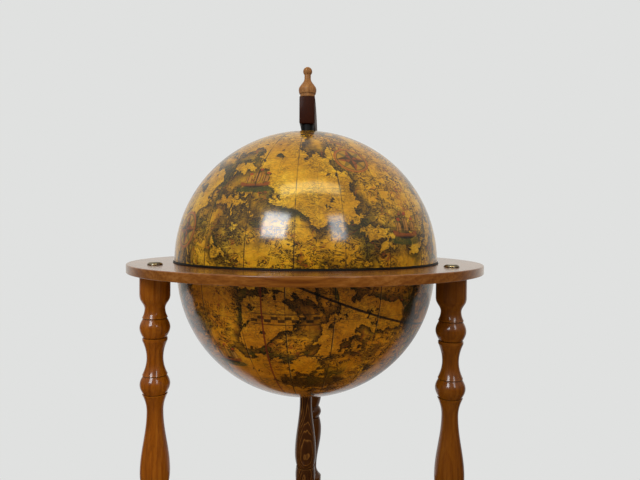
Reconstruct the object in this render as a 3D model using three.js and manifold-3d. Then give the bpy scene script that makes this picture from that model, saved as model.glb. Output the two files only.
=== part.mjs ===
// Floor globe bar: a globe whose upper half swings back on a hinged wooden meridian, over a drinks tray.
// Millimetres, +Z up, origin on the floor under the globe's axis, front towards -Y, hinge towards +Y.
import * as THREE from 'three';
import { mergeVertices } from 'three/addons/utils/BufferGeometryUtils.js';
import loadManifold from 'manifold-3d';

const wasm = await loadManifold();
wasm.setup();

// Fits shared by all pieces
const seatGap = 0.3;
const holeGap = 0.3;
const cutOverrun = 2;

// Globe shells
const domeRadius = 200;
const domeWall = 5;
const domeRise = 0.2;
const domeBandHeight = 18;
const domeBandWall = 4;
const bowlInset = 3.6;
const bowlWall = 5;
const bowlDrop = 9.4;

// Horizon ring and the black rim that lines its opening
const ringReach = 65.5;
const ringThickness = 12;
const ringArris = 1.6;
const bowlPlay = 0.6;
const rimFlange = 2;
const rimOverhang = 4.2;
const rimLip = 3.6;
const rimLedgeWidth = 7;
const rimLedgeThickness = 3;

// Legs: three, evenly spaced, the third one at the back under the hinge
const legCount = 3;
const legInset = 34.9;
const legRadius = 20.2;

// Leg turning, from the ring down
const blockLength = 30.5;
const coveLength = 16.1;
const coveRadius = 13.5;
const collarLength = 12.2;
const collarRadius = 16.8;
const grooveWidth = 1.4;
const grooveDepth = 1.3;
const upperBeadLength = 26.4;
const upperBeadSwell = 4.7;
const shoulderLength = 3.2;
const shoulderRadius = 16.6;
const upperNeckFall = 24;
const neckRadius = 11;
const upperNeckRise = 22.4;
const middleBeadEdge = 16.6;
const middleBeadLength = 25.3;
const middleBeadSwell = 4.7;
const lowerNeckFall = 23.4;
const vaseRise = 83.4;
const vaseRadius = 19.9;
const vaseFoot = 25;
const vaseFootRadius = 15.4;
const lowerBeadEdge = 16.4;
const lowerBeadLength = 23;
const lowerBeadSwell = 5.1;
const lowerVaseRise = 24;
const lowerVaseFall = 77.8;
const lowerFlare = 18.2;

// Lower shelf, feet and the middle column
const shelfThickness = 16;
const shelfMargin = 7;
const shelfRound = 5;
const footLength = 80;
const footCollar = 9;
const footWaistRadius = 13.8;
const footBulbRadius = 18.6;
const footEndRadius = 14.2;
const columnNeckRadius = 9.3;
const columnVaseRadius = 16.7;
const columnWaistRadius = 13.4;
const columnBandRadius = 15.6;
const columnFootRadius = 23;

// Castors
const castorHeight = 50;
const wheelRadius = 17;
const wheelWidth = 12;
const hubRadius = 5.5;
const webThickness = 6;
const tyreThickness = 4.8;
const tyreRound = 2;
const castorTrail = 12;
const cheekThickness = 2.4;
const cheekBossRadius = 6;
const wheelSideGap = 1;
const axleRadius = 2.3;
const rivetHeadRadius = 3.9;
const rivetHeadHeight = 1.5;
const stemRadius = 4;
const stemLength = 20;
const socketWall = 1.8;
const socketFlangeRadius = 13.6;
const socketFlange = 2;
const crownRadius = 12;
const crownThickness = 3;

// Meridian arc and its pole fittings
const arcSetback = 11;
const arcDepth = 42;
const arcThickness = 24;
const arcChamfer = 1.8;
const arcNose = 12.5;
const poleRodRadius = 3;
const poleRodTail = 2;
const poleWasherRadius = 14;
const poleWasherThickness = 1.6;
const nutRadius = 5.8;
const nutHeight = 5;
const spacerRadius = 9.4;
const finialBoreDepth = 20;
const finialHeight = 47.3;
const finialBallRadius = 7.05;
const finialNeckRadius = 5;
const finialBellRadius = 13.8;
const finialFootRadius = 11.5;

// Hinge between ring and arc
const leafReach = 15;
const leafThickness = 1.8;
const barrelRadius = 3.6;
const hingePinRadius = 1.6;
const leafScrewSpread = 8.5;

// Drinks insert: a deck with holes, a shelf under the glasses and a floor under the bottles
const deckThickness = 9;
const glassShelfDrop = 67;
const glassShelfThickness = 8;
const floorThickness = 8;
const floorEdge = 13.4;
const insertPlay = 0.5;
const bottleHoleShare = 0.23;
const bottleCircleShare = 0.365;
const bottleCount = 3;
const glassHoleShare = 0.15;
const glassCircleShare = 0.768;
const glassCount = 6;
const postRadius = 6;
const postCircleShare = 0.6;

// Fasteners
const legBoltRadius = 3;
const legBoltLength = 52;
const capRadius = 10.3;
const capHeight = 3.6;
const capEdge = 0.9;
const capFlatShare = 0.68;
const flatHeadRadius = 5.5;
const flatHeadDepth = 3;
const rodRadius = 4;
const rodBite = 24;
const bowlBoltLength = 42;
const bowlBoltHead = 9;
const bowlWasherRadius = 15;
const bowlWasherThickness = 2;
const columnScrewRadius = 3;
const columnScrewBite = 32;
const columnScrewHead = 7;
const columnScrewHeadHeight = 3.4;
const leafScrewRadius = 1.7;
const leafScrewBite = 8;
const leafScrewHead = 3.5;

// Facets round each kind of turned piece, and steps along each kind of arc
const shellFacets = 32;
const ringFacets = 40;
const legFacets = 10;
const footFacets = 12;
const wheelFacets = 16;
const smallFacets = 8;
const screwFacets = 6;
const holeFacets = 12;
const shellSteps = 6;
const arcSteps = 18;
const roundSteps = 2;
const discSectors = 3;

// Radii and heights worked out from the sizes above
const bowlRadius = domeRadius - bowlInset;
const ringRadius = domeRadius + ringReach;
const legCircle = ringRadius - legInset;
const legLength = 2 * blockLength + coveLength + collarLength + upperBeadLength + shoulderLength
  + upperNeckFall + upperNeckRise + middleBeadLength + lowerNeckFall + vaseRise + vaseFoot
  + lowerBeadLength + lowerVaseRise + lowerVaseFall + lowerFlare + 3 * grooveWidth;
const footTop = castorHeight + footLength;
const shelfBottom = footTop + seatGap;
const shelfTop = shelfBottom + shelfThickness;
const legBottom = shelfTop + seatGap;
const legTop = legBottom + legLength;
const ringBottom = legTop + seatGap;
const ringTop = ringBottom + ringThickness;
const domeCentre = ringTop + domeRise;
const bowlCentre = ringTop - bowlDrop;
const ringHoleRadius = (bowlRadius + bowlPlay) / Math.cos(Math.PI / ringFacets);
const legBore = legBoltRadius + holeGap;
const rodBore = rodRadius + holeGap;

// Materials
const paint = {
  map: new THREE.MeshStandardMaterial({ color: 0xb8822f, roughness: 0.3, metalness: 0 }),
  legWood: new THREE.MeshStandardMaterial({ color: 0x6e3a10, roughness: 0.32, metalness: 0 }),
  ringWood: new THREE.MeshStandardMaterial({ color: 0x7b4a26, roughness: 0.36, metalness: 0 }),
  darkWood: new THREE.MeshStandardMaterial({ color: 0x3d1d0a, roughness: 0.34, metalness: 0 }),
  paleWood: new THREE.MeshStandardMaterial({ color: 0xb07a4a, roughness: 0.5, metalness: 0 }),
  black: new THREE.MeshStandardMaterial({ color: 0x17120e, roughness: 0.45, metalness: 0 }),
  bronze: new THREE.MeshStandardMaterial({ color: 0x6d5a3a, roughness: 0.35, metalness: 1 }),
  brass: new THREE.MeshStandardMaterial({ color: 0xb08a3e, roughness: 0.3, metalness: 1 }),
  steel: new THREE.MeshStandardMaterial({ color: 0x9a9a98, roughness: 0.35, metalness: 1 }),
  wheel: new THREE.MeshStandardMaterial({ color: 0x2b2521, roughness: 0.5, metalness: 0 }),
};

const globeBar = new THREE.Group();

function place(name, geometry, material, x = 0, y = 0, z = 0, turn = 0) {
  const mesh = new THREE.Mesh(geometry, material);
  mesh.name = name;
  mesh.position.set(x, y, z);
  mesh.rotation.z = turn;
  globeBar.add(mesh);
  return mesh;
}

// Joining and cutting
function toSolid(geometry) {
  const bare = geometry.clone();
  bare.deleteAttribute('normal');
  bare.deleteAttribute('uv');
  const merged = mergeVertices(bare);
  return new wasm.Manifold(new wasm.Mesh({
    numProp: 3,
    vertProperties: new Float32Array(merged.attributes.position.array),
    triVerts: new Uint32Array(merged.index.array),
  }));
}

function fromSolid(solid) {
  const mesh = solid.getMesh();
  const geometry = new THREE.BufferGeometry();
  geometry.setAttribute('position', new THREE.BufferAttribute(mesh.vertProperties, 3));
  geometry.setIndex(new THREE.BufferAttribute(mesh.triVerts, 1));
  return geometry;
}

function join(...geometries) {
  return fromSolid(geometries.map(toSolid).reduce((whole, piece) => whole.add(piece)));
}

function cut(geometry, ...tools) {
  return fromSolid(tools.map(toSolid).reduce((rest, tool) => rest.subtract(tool), toSolid(geometry)));
}

// Ways in which a turned radius goes from one value to the next
const hollow = (t) => t * t;
const rounded = (t) => 1 - (1 - t) * (1 - t);
const waisted = (t) => (1 - Math.cos(Math.PI * t)) / 2;
const domed = (t) => Math.sqrt(1 - (1 - t) * (1 - t));

// A turned outline, drawn downwards from its top end; a bore in either end is part of the outline
class Turning {
  constructor(top, radius, boreRadius = 0, boreDepth = 0) {
    this.points = [];
    this.to(0, top - boreDepth);
    if (boreRadius > 0) {
      this.to(boreRadius, top - boreDepth);
      this.to(boreRadius, top);
    }
    if (radius > 0) this.to(radius, top);
  }

  to(radius, height) {
    this.radius = radius;
    this.height = height;
    this.points.push(new THREE.Vector2(radius, height));
    return this;
  }

  straight(length) {
    return this.to(this.radius, this.height - length);
  }

  step(radius) {
    return this.to(radius, this.height);
  }

  curve(length, radius, ease, steps) {
    const from = this.radius;
    const top = this.height;
    for (let i = 1; i <= steps; i += 1) {
      const t = i / steps;
      this.to(from + (radius - from) * ease(t), top - length * t);
    }
    return this;
  }

  bead(length, swell, endRadius, steps) {
    const from = this.radius;
    const top = this.height;
    for (let i = 1; i <= steps; i += 1) {
      const t = i / steps;
      this.to(from + (endRadius - from) * t + swell * Math.sin(Math.PI * t), top - length * t);
    }
    return this;
  }

  ball(radius, endRadius, steps) {
    const centre = this.height - radius;
    const last = Math.PI - Math.asin(endRadius / radius);
    for (let i = 1; i <= steps; i += 1) {
      const angle = (last * i) / steps;
      this.to(radius * Math.sin(angle), centre + radius * Math.cos(angle));
    }
    return this;
  }

  groove() {
    return this.to(this.radius - grooveDepth, this.height - grooveWidth / 2);
  }

  lift() {
    return this.to(this.radius + grooveDepth, this.height - grooveWidth / 2);
  }

  close(boreRadius = 0, boreDepth = 0) {
    if (boreRadius > 0) {
      this.to(boreRadius, this.height);
      this.to(boreRadius, this.height + boreDepth);
    }
    return this.to(0, this.height);
  }

  geometry(facets) {
    return lathe(this.points, facets);
  }
}

// Revolves an outline of (radius, height) points, listed clockwise, about the Z axis
function lathe(points, facets) {
  const geometry = new THREE.LatheGeometry([...points].reverse(), facets);
  return geometry.rotateX(Math.PI / 2);
}

function rod(radius, length, facets, x, y, middleHeight) {
  const geometry = new THREE.CylinderGeometry(radius, radius, length, facets);
  return geometry.rotateX(Math.PI / 2).translate(x, y, middleHeight);
}

function crossRod(radius, length, facets) {
  return new THREE.CylinderGeometry(radius, radius, length, facets).rotateZ(Math.PI / 2);
}

function box(width, depth, height, x, y, bottom) {
  return new THREE.BoxGeometry(width, depth, height).translate(x, y, bottom + height / 2);
}

// Height of an outline, listed outwards, at a radius
function heightAt(outline, radius) {
  const i = outline.findIndex((point) => point.x > radius);
  const [inner, outer] = [outline[i - 1], outline[i]];
  return inner.y + ((outer.y - inner.y) * (radius - inner.x)) / (outer.x - inner.x);
}

// Points of an arc in the (radius, height) plane, angles measured from the horizontal
function arcPoints(radius, centreHeight, fromAngle, toAngle, steps) {
  const points = [];
  for (let i = 0; i <= steps; i += 1) {
    const angle = fromAngle + ((toAngle - fromAngle) * i) / steps;
    points.push(new THREE.Vector2(radius * Math.cos(angle), centreHeight + radius * Math.sin(angle)));
  }
  return points;
}

// Rounded outer edge of a disc or ring, from its top face to its bottom face
function roundedEdge(radius, round, top, bottom) {
  const quarter = (centre, from, to) => arcPoints(round, centre, from, to, roundSteps)
    .map((point) => new THREE.Vector2(point.x + radius - round, point.y));
  return [
    ...quarter(top - round, Math.PI / 2, 0),
    ...quarter(bottom + round, 0, -Math.PI / 2),
  ];
}

const legAngles = Array.from({ length: legCount }, (_, i) => Math.PI / 2 + ((i + 1) * 2 * Math.PI) / legCount);
const legNames = ['left', 'right', 'rear'];
const legSpots = legAngles.map((angle) => [legCircle * Math.cos(angle), legCircle * Math.sin(angle)]);

// Horizon ring: a flat wooden ring with eased edges, drilled for the leg bolts and the hinge screws
const barrelHeight = ringTop + seatGap + barrelRadius;
const arcOuter = ringRadius - arcSetback;
const arcInner = arcOuter - arcDepth;
const arcGap = arcInner - domeRadius;
const barrelY = arcOuter - barrelRadius;
const leafFront = legCircle - leafReach;
const leafScrewYs = [legCircle - leafScrewSpread, legCircle + leafScrewSpread];

function makeRing() {
  const outline = [
    new THREE.Vector2(ringHoleRadius, ringBottom),
    new THREE.Vector2(ringHoleRadius, ringTop),
    ...roundedEdge(ringRadius, ringArris, ringTop, ringBottom),
    new THREE.Vector2(ringHoleRadius, ringBottom),
  ];
  const middle = ringTop - ringThickness / 2;
  const through = ringThickness + 2 * cutOverrun;
  const boltHoles = legSpots.map(([x, y]) => rod(legBore, through, smallFacets, x, y, middle));
  const [rearX, rearY] = legSpots[legCount - 1];
  const sink = flatHeadOutline(ringTop, holeGap).geometry(smallFacets).translate(rearX, rearY, 0);
  const pilotDepth = leafScrewBite + seatGap;
  const pilots = leafScrewYs.map((y) => rod(
    leafScrewRadius + holeGap, pilotDepth + cutOverrun, screwFacets, 0, y, ringTop + (cutOverrun - pilotDepth) / 2));
  return cut(lathe(outline, ringFacets), ...boltHoles, sink, ...pilots);
}

// The sunk head of the rear leg bolt, or with a gap round it, the recess that takes it
function flatHeadOutline(surface, gap) {
  const top = gap > 0 ? surface + cutOverrun : surface - seatGap;
  const head = new Turning(top, flatHeadRadius + gap);
  if (gap > 0) head.straight(cutOverrun + seatGap);
  head.to(legBoltRadius + gap, surface - seatGap - flatHeadDepth - gap);
  return gap > 0 ? head.straight(gap).close() : head;
}

place('horizon_ring', makeRing(), paint.ringWood);

// Legs: one turned piece each, bored at both ends for the bolt and the threaded rod
const rodBoreDepth = rodBite + seatGap;

function makeLeg() {
  return new Turning(legTop, legRadius, legBore, legBoltLength - ringThickness + seatGap)
    .straight(blockLength)
    .curve(coveLength, coveRadius, waisted, 3)
    .curve(collarLength, collarRadius, hollow, 2)
    .groove()
    .bead(upperBeadLength, upperBeadSwell, shoulderRadius - grooveDepth, 4)
    .lift()
    .straight(shoulderLength)
    .curve(upperNeckFall, neckRadius, rounded, 3)
    .curve(upperNeckRise, middleBeadEdge, hollow, 3)
    .groove()
    .bead(middleBeadLength, middleBeadSwell, middleBeadEdge - grooveDepth, 4)
    .lift()
    .curve(lowerNeckFall, neckRadius, rounded, 3)
    .curve(vaseRise, vaseRadius, waisted, 4)
    .curve(vaseFoot, vaseFootRadius, hollow, 2)
    .groove()
    .bead(lowerBeadLength, lowerBeadSwell, lowerBeadEdge - grooveDepth, 4)
    .lift()
    .curve(lowerVaseRise, legRadius, rounded, 2)
    .curve(lowerVaseFall, neckRadius, waisted, 4)
    .curve(lowerFlare, legRadius, hollow, 2)
    .to(legRadius, legBottom)
    .close(rodBore, rodBoreDepth)
    .geometry(legFacets);
}

legSpots.forEach(([x, y], i) => place(`${legNames[i]}_leg`, makeLeg(), paint.legWood, x, y));

// Leg bolts: two with a bevelled bronze cap that shows, the rear one sunk flush under the hinge leaf
function makeCapBolt() {
  return new Turning(ringTop + seatGap + capHeight, capRadius * capFlatShare)
    .curve(capHeight - capEdge, capRadius, rounded, 3)
    .straight(capEdge)
    .step(legBoltRadius)
    .straight(legBoltLength)
    .close()
    .geometry(holeFacets);
}

function makeSunkBolt() {
  return flatHeadOutline(ringTop, 0)
    .straight(legBoltLength - flatHeadDepth - 2 * seatGap)
    .close()
    .geometry(smallFacets);
}

legSpots.forEach(([x, y], i) => {
  const isRear = i === legCount - 1;
  place(`${legNames[i]}_leg_bolt`, isRear ? makeSunkBolt() : makeCapBolt(), paint.bronze, x, y);
});

// Lower shelf: a round board with a rounded edge, clamped between the legs and the feet
const shelfRadius = legCircle + legRadius + shelfMargin;

function makeShelf() {
  const outline = [
    new THREE.Vector2(0, shelfTop),
    ...roundedEdge(shelfRadius, shelfRound, shelfTop, shelfBottom),
    new THREE.Vector2(0, shelfBottom),
  ];
  const middle = (shelfTop + shelfBottom) / 2;
  const through = shelfThickness + 2 * cutOverrun;
  const rodHoles = legSpots.map(([x, y]) => rod(rodBore, through, smallFacets, x, y, middle));
  const screwHole = rod(columnScrewRadius + holeGap, through, smallFacets, 0, 0, middle);
  return cut(lathe(outline, ringFacets), ...rodHoles, screwHole);
}

place('lower_shelf', makeShelf(), paint.ringWood);

// Threaded rods that join leg, shelf and foot
const rodLength = 2 * rodBite + shelfThickness;
legSpots.forEach(([x, y], i) => {
  const geometry = rod(rodRadius, rodLength, smallFacets, 0, 0, (shelfTop + shelfBottom) / 2);
  place(`${legNames[i]}_foot_rod`, geometry, paint.steel, x, y);
});

// Feet: short turned bulbs under the shelf, bored below for the castor socket
const socketRadius = stemRadius + holeGap + socketWall;
const socketBore = socketRadius + holeGap;
const socketDepth = stemLength + holeGap + socketWall;
const footRiseShare = 0.4;

function makeFoot() {
  const turned = footLength - footCollar - grooveWidth;
  return new Turning(footTop, legRadius, rodBore, rodBoreDepth)
    .straight(footCollar)
    .to(footWaistRadius, footTop - footCollar - grooveWidth)
    .curve(turned * footRiseShare, footBulbRadius, waisted, 3)
    .curve(turned * (1 - footRiseShare), footEndRadius, waisted, 3)
    .to(footEndRadius, castorHeight)
    .close(socketBore, socketDepth + seatGap)
    .geometry(footFacets);
}

legSpots.forEach(([x, y], i) => place(`${legNames[i]}_foot`, makeFoot(), paint.legWood, x, y));

// Lower half of the globe: a moulded shell, its edge just under the rim, bolted down at the south pole
const bowlBoltBore = rodRadius + holeGap;

const bowlInner = bowlRadius - bowlWall;
const bowlInnerOutline = arcPoints(
  bowlInner, bowlCentre, Math.asin(bowlBoltBore / bowlInner) - Math.PI / 2, 0, shellSteps);

function makeBowl() {
  const pole = Math.asin(bowlBoltBore / bowlRadius) - Math.PI / 2;
  const outline = [
    new THREE.Vector2(bowlInner, ringTop),
    new THREE.Vector2(bowlRadius, ringTop),
    ...arcPoints(bowlRadius, bowlCentre, 0, pole, shellSteps),
    ...bowlInnerOutline,
    new THREE.Vector2(bowlInner, ringTop),
  ];
  return lathe(outline, shellFacets);
}

place('lower_hemisphere', makeBowl(), paint.map);

// Black rim: a flange on the ring's top, a lip down inside the shell and a ledge for the deck
const rimOuter = ringHoleRadius + rimOverhang;
const rimTop = ringTop + seatGap + rimFlange;
const lipOuter = bowlInner - insertPlay;
const lipInner = lipOuter - rimLip;
const ledgeInner = lipInner - rimLedgeWidth;
const deckTop = ringTop - bowlPlay;
const ledgeTop = deckTop - deckThickness - seatGap;
const ledgeBottom = ledgeTop - rimLedgeThickness;

function makeRim() {
  const outline = [
    new THREE.Vector2(lipInner, rimTop),
    new THREE.Vector2(rimOuter, rimTop),
    new THREE.Vector2(rimOuter, ringTop + seatGap),
    new THREE.Vector2(lipOuter, ringTop + seatGap),
    new THREE.Vector2(lipOuter, ledgeBottom),
    new THREE.Vector2(ledgeInner, ledgeBottom),
    new THREE.Vector2(ledgeInner, ledgeTop),
    new THREE.Vector2(lipInner, ledgeTop),
    new THREE.Vector2(lipInner, rimTop),
  ];
  return lathe(outline, shellFacets);
}

place('bowl_rim', makeRim(), paint.black);

// Drinks insert: a disc with round holes cut through it, all on one pattern
function spots(count, circle, firstAngle) {
  return Array.from({ length: count }, (_, i) => {
    const angle = firstAngle + (2 * Math.PI * i) / count;
    return [circle * Math.cos(angle), circle * Math.sin(angle)];
  });
}

const shellShrink = Math.cos(Math.PI / shellFacets);
const deckRadius = lipInner * shellShrink - seatGap;
const bottleCircle = deckRadius * bottleCircleShare;
const bottleSpots = spots(bottleCount, bottleCircle, Math.PI / 2);
const glassSpots = spots(glassCount, deckRadius * glassCircleShare, 0);
const postSpots = spots(bottleCount, deckRadius * postCircleShare, Math.PI / 2 + Math.PI / bottleCount);

function makeDisc(radius, thickness, top, holes) {
  const shape = new THREE.Shape();
  for (let i = 0; i < discSectors; i += 1) {
    shape.absarc(0, 0, radius, (i / discSectors) * 2 * Math.PI, ((i + 1) / discSectors) * 2 * Math.PI);
  }
  for (const [spotList, holeRadius] of holes) {
    // The facets of a hole lie round its circle, so nothing of that radius is held by them
    const halfFacet = Math.PI / holeFacets;
    const corners = spots(holeFacets, holeRadius / Math.cos(halfFacet), halfFacet);
    for (const [x, y] of spotList) {
      shape.holes.push(new THREE.Path(corners.map(([cornerX, cornerY]) => new THREE.Vector2(x + cornerX, y + cornerY))));
    }
  }
  const geometry = new THREE.ExtrudeGeometry(shape, {
    depth: thickness, bevelEnabled: false, curveSegments: holeFacets / 2,
  });
  return geometry.translate(0, 0, top - thickness);
}

// Radius of a disc that just fits inside a faceted shell at a height, its inner outline listed upwards
function insideRadiusAt(outline, height) {
  const i = outline.findIndex((point) => point.y > height);
  const [below, above] = [outline[i - 1], outline[i]];
  const share = (height - below.y) / (above.y - below.y);
  const wall = below.x + (above.x - below.x) * share;
  return wall * shellShrink - seatGap;
}

const bottleHoleRadius = domeRadius * bottleHoleShare;
const glassHoleRadius = domeRadius * glassHoleShare;
const postHoles = [postSpots, postRadius + holeGap];
const bottleHoles = [bottleSpots, bottleHoleRadius];
const glassHoles = [glassSpots, glassHoleRadius];
const glassShelfTop = ringTop - glassShelfDrop;
const glassShelfRadius = insideRadiusAt(bowlInnerOutline, glassShelfTop - glassShelfThickness);
const floorRadius = bottleCircle + bottleHoleRadius + floorEdge;
const floorTop = heightAt(bowlInnerOutline, (floorRadius + seatGap) / shellShrink) + floorThickness;

place('bar_deck', makeDisc(deckRadius, deckThickness, deckTop, [bottleHoles, glassHoles, postHoles]), paint.ringWood);
place('glass_shelf', makeDisc(glassShelfRadius, glassShelfThickness, glassShelfTop, [bottleHoles, postHoles]),
  paint.ringWood);
place('bottle_floor', makeDisc(floorRadius, floorThickness, floorTop, []), paint.ringWood);

const postLength = deckTop - floorTop - seatGap;
postSpots.forEach(([x, y], i) => {
  const geometry = rod(postRadius, postLength, smallFacets, 0, 0, deckTop - postLength / 2);
  place(`insert_post_${i + 1}`, geometry, paint.paleWood, x, y);
});

// Middle column: a turned baluster from the shelf to the south pole, its shares counted from the top
const bowlSouth = bowlCentre - bowlRadius;
const columnTop = bowlSouth - seatGap;
const columnBottom = shelfTop + seatGap;
const columnLength = columnTop - columnBottom;
const neckShare = 0.05;
const vaseShare = 0.305;
const waistShare = 0.075;
const bandShare = 0.095;
const lowerVaseShare = 0.07;
const lowerNeckShare = 0.33;
const footShare = 0.045;

function makeColumn() {
  return new Turning(columnTop, columnNeckRadius, bowlBoltBore, bowlBoltLength)
    .straight(columnLength * neckShare)
    .curve(columnLength * vaseShare, columnVaseRadius, waisted, 5)
    .curve(columnLength * waistShare, columnWaistRadius, hollow, 3)
    .step(columnBandRadius - grooveDepth)
    .bead(columnLength * bandShare, grooveDepth, columnBandRadius - grooveDepth, 4)
    .step(columnWaistRadius)
    .curve(columnLength * lowerVaseShare, columnVaseRadius, rounded, 2)
    .curve(columnLength * lowerNeckShare, columnNeckRadius + grooveDepth, waisted, 5)
    .step(columnFootRadius - grooveDepth)
    .bead(columnLength * footShare, grooveDepth, columnFootRadius, 3)
    .to(columnFootRadius, columnBottom)
    .close(columnScrewRadius + holeGap, columnScrewBite + seatGap)
    .geometry(legFacets);
}

place('central_column', makeColumn(), paint.darkWood);

// South pole bolt and washer inside the shell, and the screw that holds the column to the shelf
const washerBottom = heightAt(bowlInnerOutline, bowlWasherRadius) + seatGap;
const bowlBoltSeat = washerBottom + bowlWasherThickness + seatGap;

function makeWasher(radius, bore, thickness, bottom, facets) {
  const outline = [
    new THREE.Vector2(bore, bottom + thickness),
    new THREE.Vector2(radius, bottom + thickness),
    new THREE.Vector2(radius, bottom),
    new THREE.Vector2(bore, bottom),
    new THREE.Vector2(bore, bottom + thickness),
  ];
  return lathe(outline, facets);
}

function makeBowlBolt() {
  const headHeight = bowlBoltHead / 2;
  const end = columnTop - bowlBoltLength + seatGap;
  return new Turning(bowlBoltSeat + headHeight, 0)
    .curve(headHeight, bowlBoltHead, domed, 3)
    .step(rodRadius)
    .to(rodRadius, end)
    .close()
    .geometry(smallFacets);
}

function makeColumnScrew() {
  const seat = shelfBottom - seatGap;
  return new Turning(columnBottom + columnScrewBite, columnScrewRadius)
    .to(columnScrewRadius, seat)
    .step(columnScrewHead)
    .straight(columnScrewHeadHeight / 2)
    .curve(columnScrewHeadHeight / 2, columnScrewHead / 2, hollow, 2)
    .close()
    .geometry(smallFacets);
}

place('bowl_washer',
  makeWasher(bowlWasherRadius, bowlBoltBore, bowlWasherThickness, washerBottom, holeFacets), paint.steel);
place('bowl_bolt', makeBowlBolt(), paint.steel);
place('column_screw', makeColumnScrew(), paint.steel);

// Upper half of the globe: a thin shell that turns on the pole rod, with a stiffening band inside its edge
const domeInner = domeRadius - domeWall;
const domeBottom = rimTop + bowlPlay;
const poleBore = poleRodRadius + holeGap;

function domeOutline(radius) {
  const edge = Math.asin((domeBottom - domeCentre) / radius);
  return arcPoints(radius, domeCentre, edge, Math.acos(poleBore / radius), shellSteps);
}

const domeInnerOutline = domeOutline(domeInner);

function makeDome() {
  const outline = [...domeOutline(domeRadius).toReversed(), ...domeInnerOutline];
  outline.push(outline[0]);
  return lathe(outline, shellFacets);
}

place('upper_hemisphere', makeDome(), paint.map);

const bandOuter = insideRadiusAt(domeInnerOutline, domeBottom + domeBandHeight);
const bandInner = bandOuter - domeBandWall;
place('dome_band', makeWasher(bandOuter, bandInner, domeBandHeight, domeBottom, shellFacets), paint.darkWood);

// Meridian arc: sawn from a board, its arrises chamfered, the foot flat over the hinge
const foot = barrelHeight + barrelRadius + seatGap;
const arcTop = domeCentre + arcOuter;
const arcUnder = domeCentre + arcInner;
const poleThrough = arcDepth + 2 * cutOverrun;

function makeArc() {
  const inner = arcInner + arcChamfer;
  const outer = arcOuter - arcChamfer;
  const footLine = foot + arcChamfer - domeCentre;
  const footAngle = (radius) => Math.asin(footLine / radius);
  const shape = new THREE.Shape();
  shape.absarc(0, 0, outer, footAngle(outer), Math.PI / 2, false);
  shape.lineTo(arcChamfer - arcNose, outer);
  shape.lineTo(arcChamfer - arcNose, inner);
  shape.absarc(0, 0, inner, Math.PI / 2, footAngle(inner), true);
  const board = new THREE.ExtrudeGeometry(shape, {
    depth: arcThickness - 2 * arcChamfer,
    bevelThickness: arcChamfer,
    bevelSize: arcChamfer,
    bevelSegments: 1,
    curveSegments: arcSteps / 2,
  });
  board.translate(0, 0, arcChamfer - arcThickness / 2);
  board.rotateX(Math.PI / 2).rotateZ(Math.PI / 2).translate(0, 0, domeCentre);
  const pole = rod(poleBore, poleThrough, smallFacets, 0, 0, arcTop - arcDepth / 2);
  const spotFace = rod(spacerRadius + holeGap, arcGap, holeFacets, 0, 0, arcUnder - arcGap / 2);
  const pilotDepth = leafScrewBite + seatGap;
  const pilots = leafScrewYs.map((y) => rod(
    leafScrewRadius + holeGap, pilotDepth + cutOverrun, screwFacets, 0, y, foot + (pilotDepth - cutOverrun) / 2));
  return cut(board, pole, spotFace, ...pilots);
}

place('meridian_arc', makeArc(), paint.darkWood);

// Pole fittings: rod, black spacer between arc and shell, washer and nut inside the shell, finial on top
const poleWasherTop = heightAt(domeInnerOutline.toReversed(), poleWasherRadius) - seatGap;
const nutTop = poleWasherTop - poleWasherThickness - seatGap;
const rodBottom = nutTop - nutHeight - poleRodTail;
const finialFoot = arcTop + seatGap;
const rodTop = finialFoot + finialBoreDepth - seatGap;
const spacerTop = arcUnder - seatGap;
const spacerBottom = domeCentre + domeRadius + seatGap;

place('pole_rod', rod(poleRodRadius, rodTop - rodBottom, smallFacets, 0, 0, (rodTop + rodBottom) / 2), paint.steel);
place('pole_spacer',
  makeWasher(spacerRadius, poleBore, spacerTop - spacerBottom, spacerBottom, holeFacets), paint.black);
place('pole_washer', makeWasher(
  poleWasherRadius, poleBore, poleWasherThickness, poleWasherTop - poleWasherThickness, holeFacets), paint.steel);
place('pole_nut', cut(rod(nutRadius, nutHeight, screwFacets, 0, 0, nutTop - nutHeight / 2),
  rod(poleBore, nutHeight + 2 * cutOverrun, smallFacets, 0, 0, nutTop - nutHeight / 2)), paint.steel);

// Stretches of the finial's height below its ball
const finialNeckShare = 0.13;
const finialBellShare = 0.37;
const finialRoundShare = 0.13;

function makeFinial() {
  return new Turning(finialFoot + finialHeight, 0)
    .ball(finialBallRadius, finialNeckRadius, 5)
    .straight(finialHeight * finialNeckShare)
    .curve(finialHeight * finialBellShare, finialBellRadius, waisted, 4)
    .curve(finialHeight * finialRoundShare, (finialBellRadius + finialFootRadius) / 2, hollow, 2)
    .step(finialFootRadius)
    .to(finialFootRadius, finialFoot)
    .close(poleBore, finialBoreDepth)
    .geometry(legFacets);
}

place('finial', makeFinial(), paint.paleWood);

// Hinge: two leaves rolled round one pin, the middle knuckle on the upper leaf
const knuckleCount = 3;
const knucklePitch = arcThickness / knuckleCount;
const knuckleWidth = knucklePitch - seatGap;
const knuckleXs = Array.from({ length: knuckleCount }, (_, i) => (i - (knuckleCount - 1) / 2) * knucklePitch);

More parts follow.
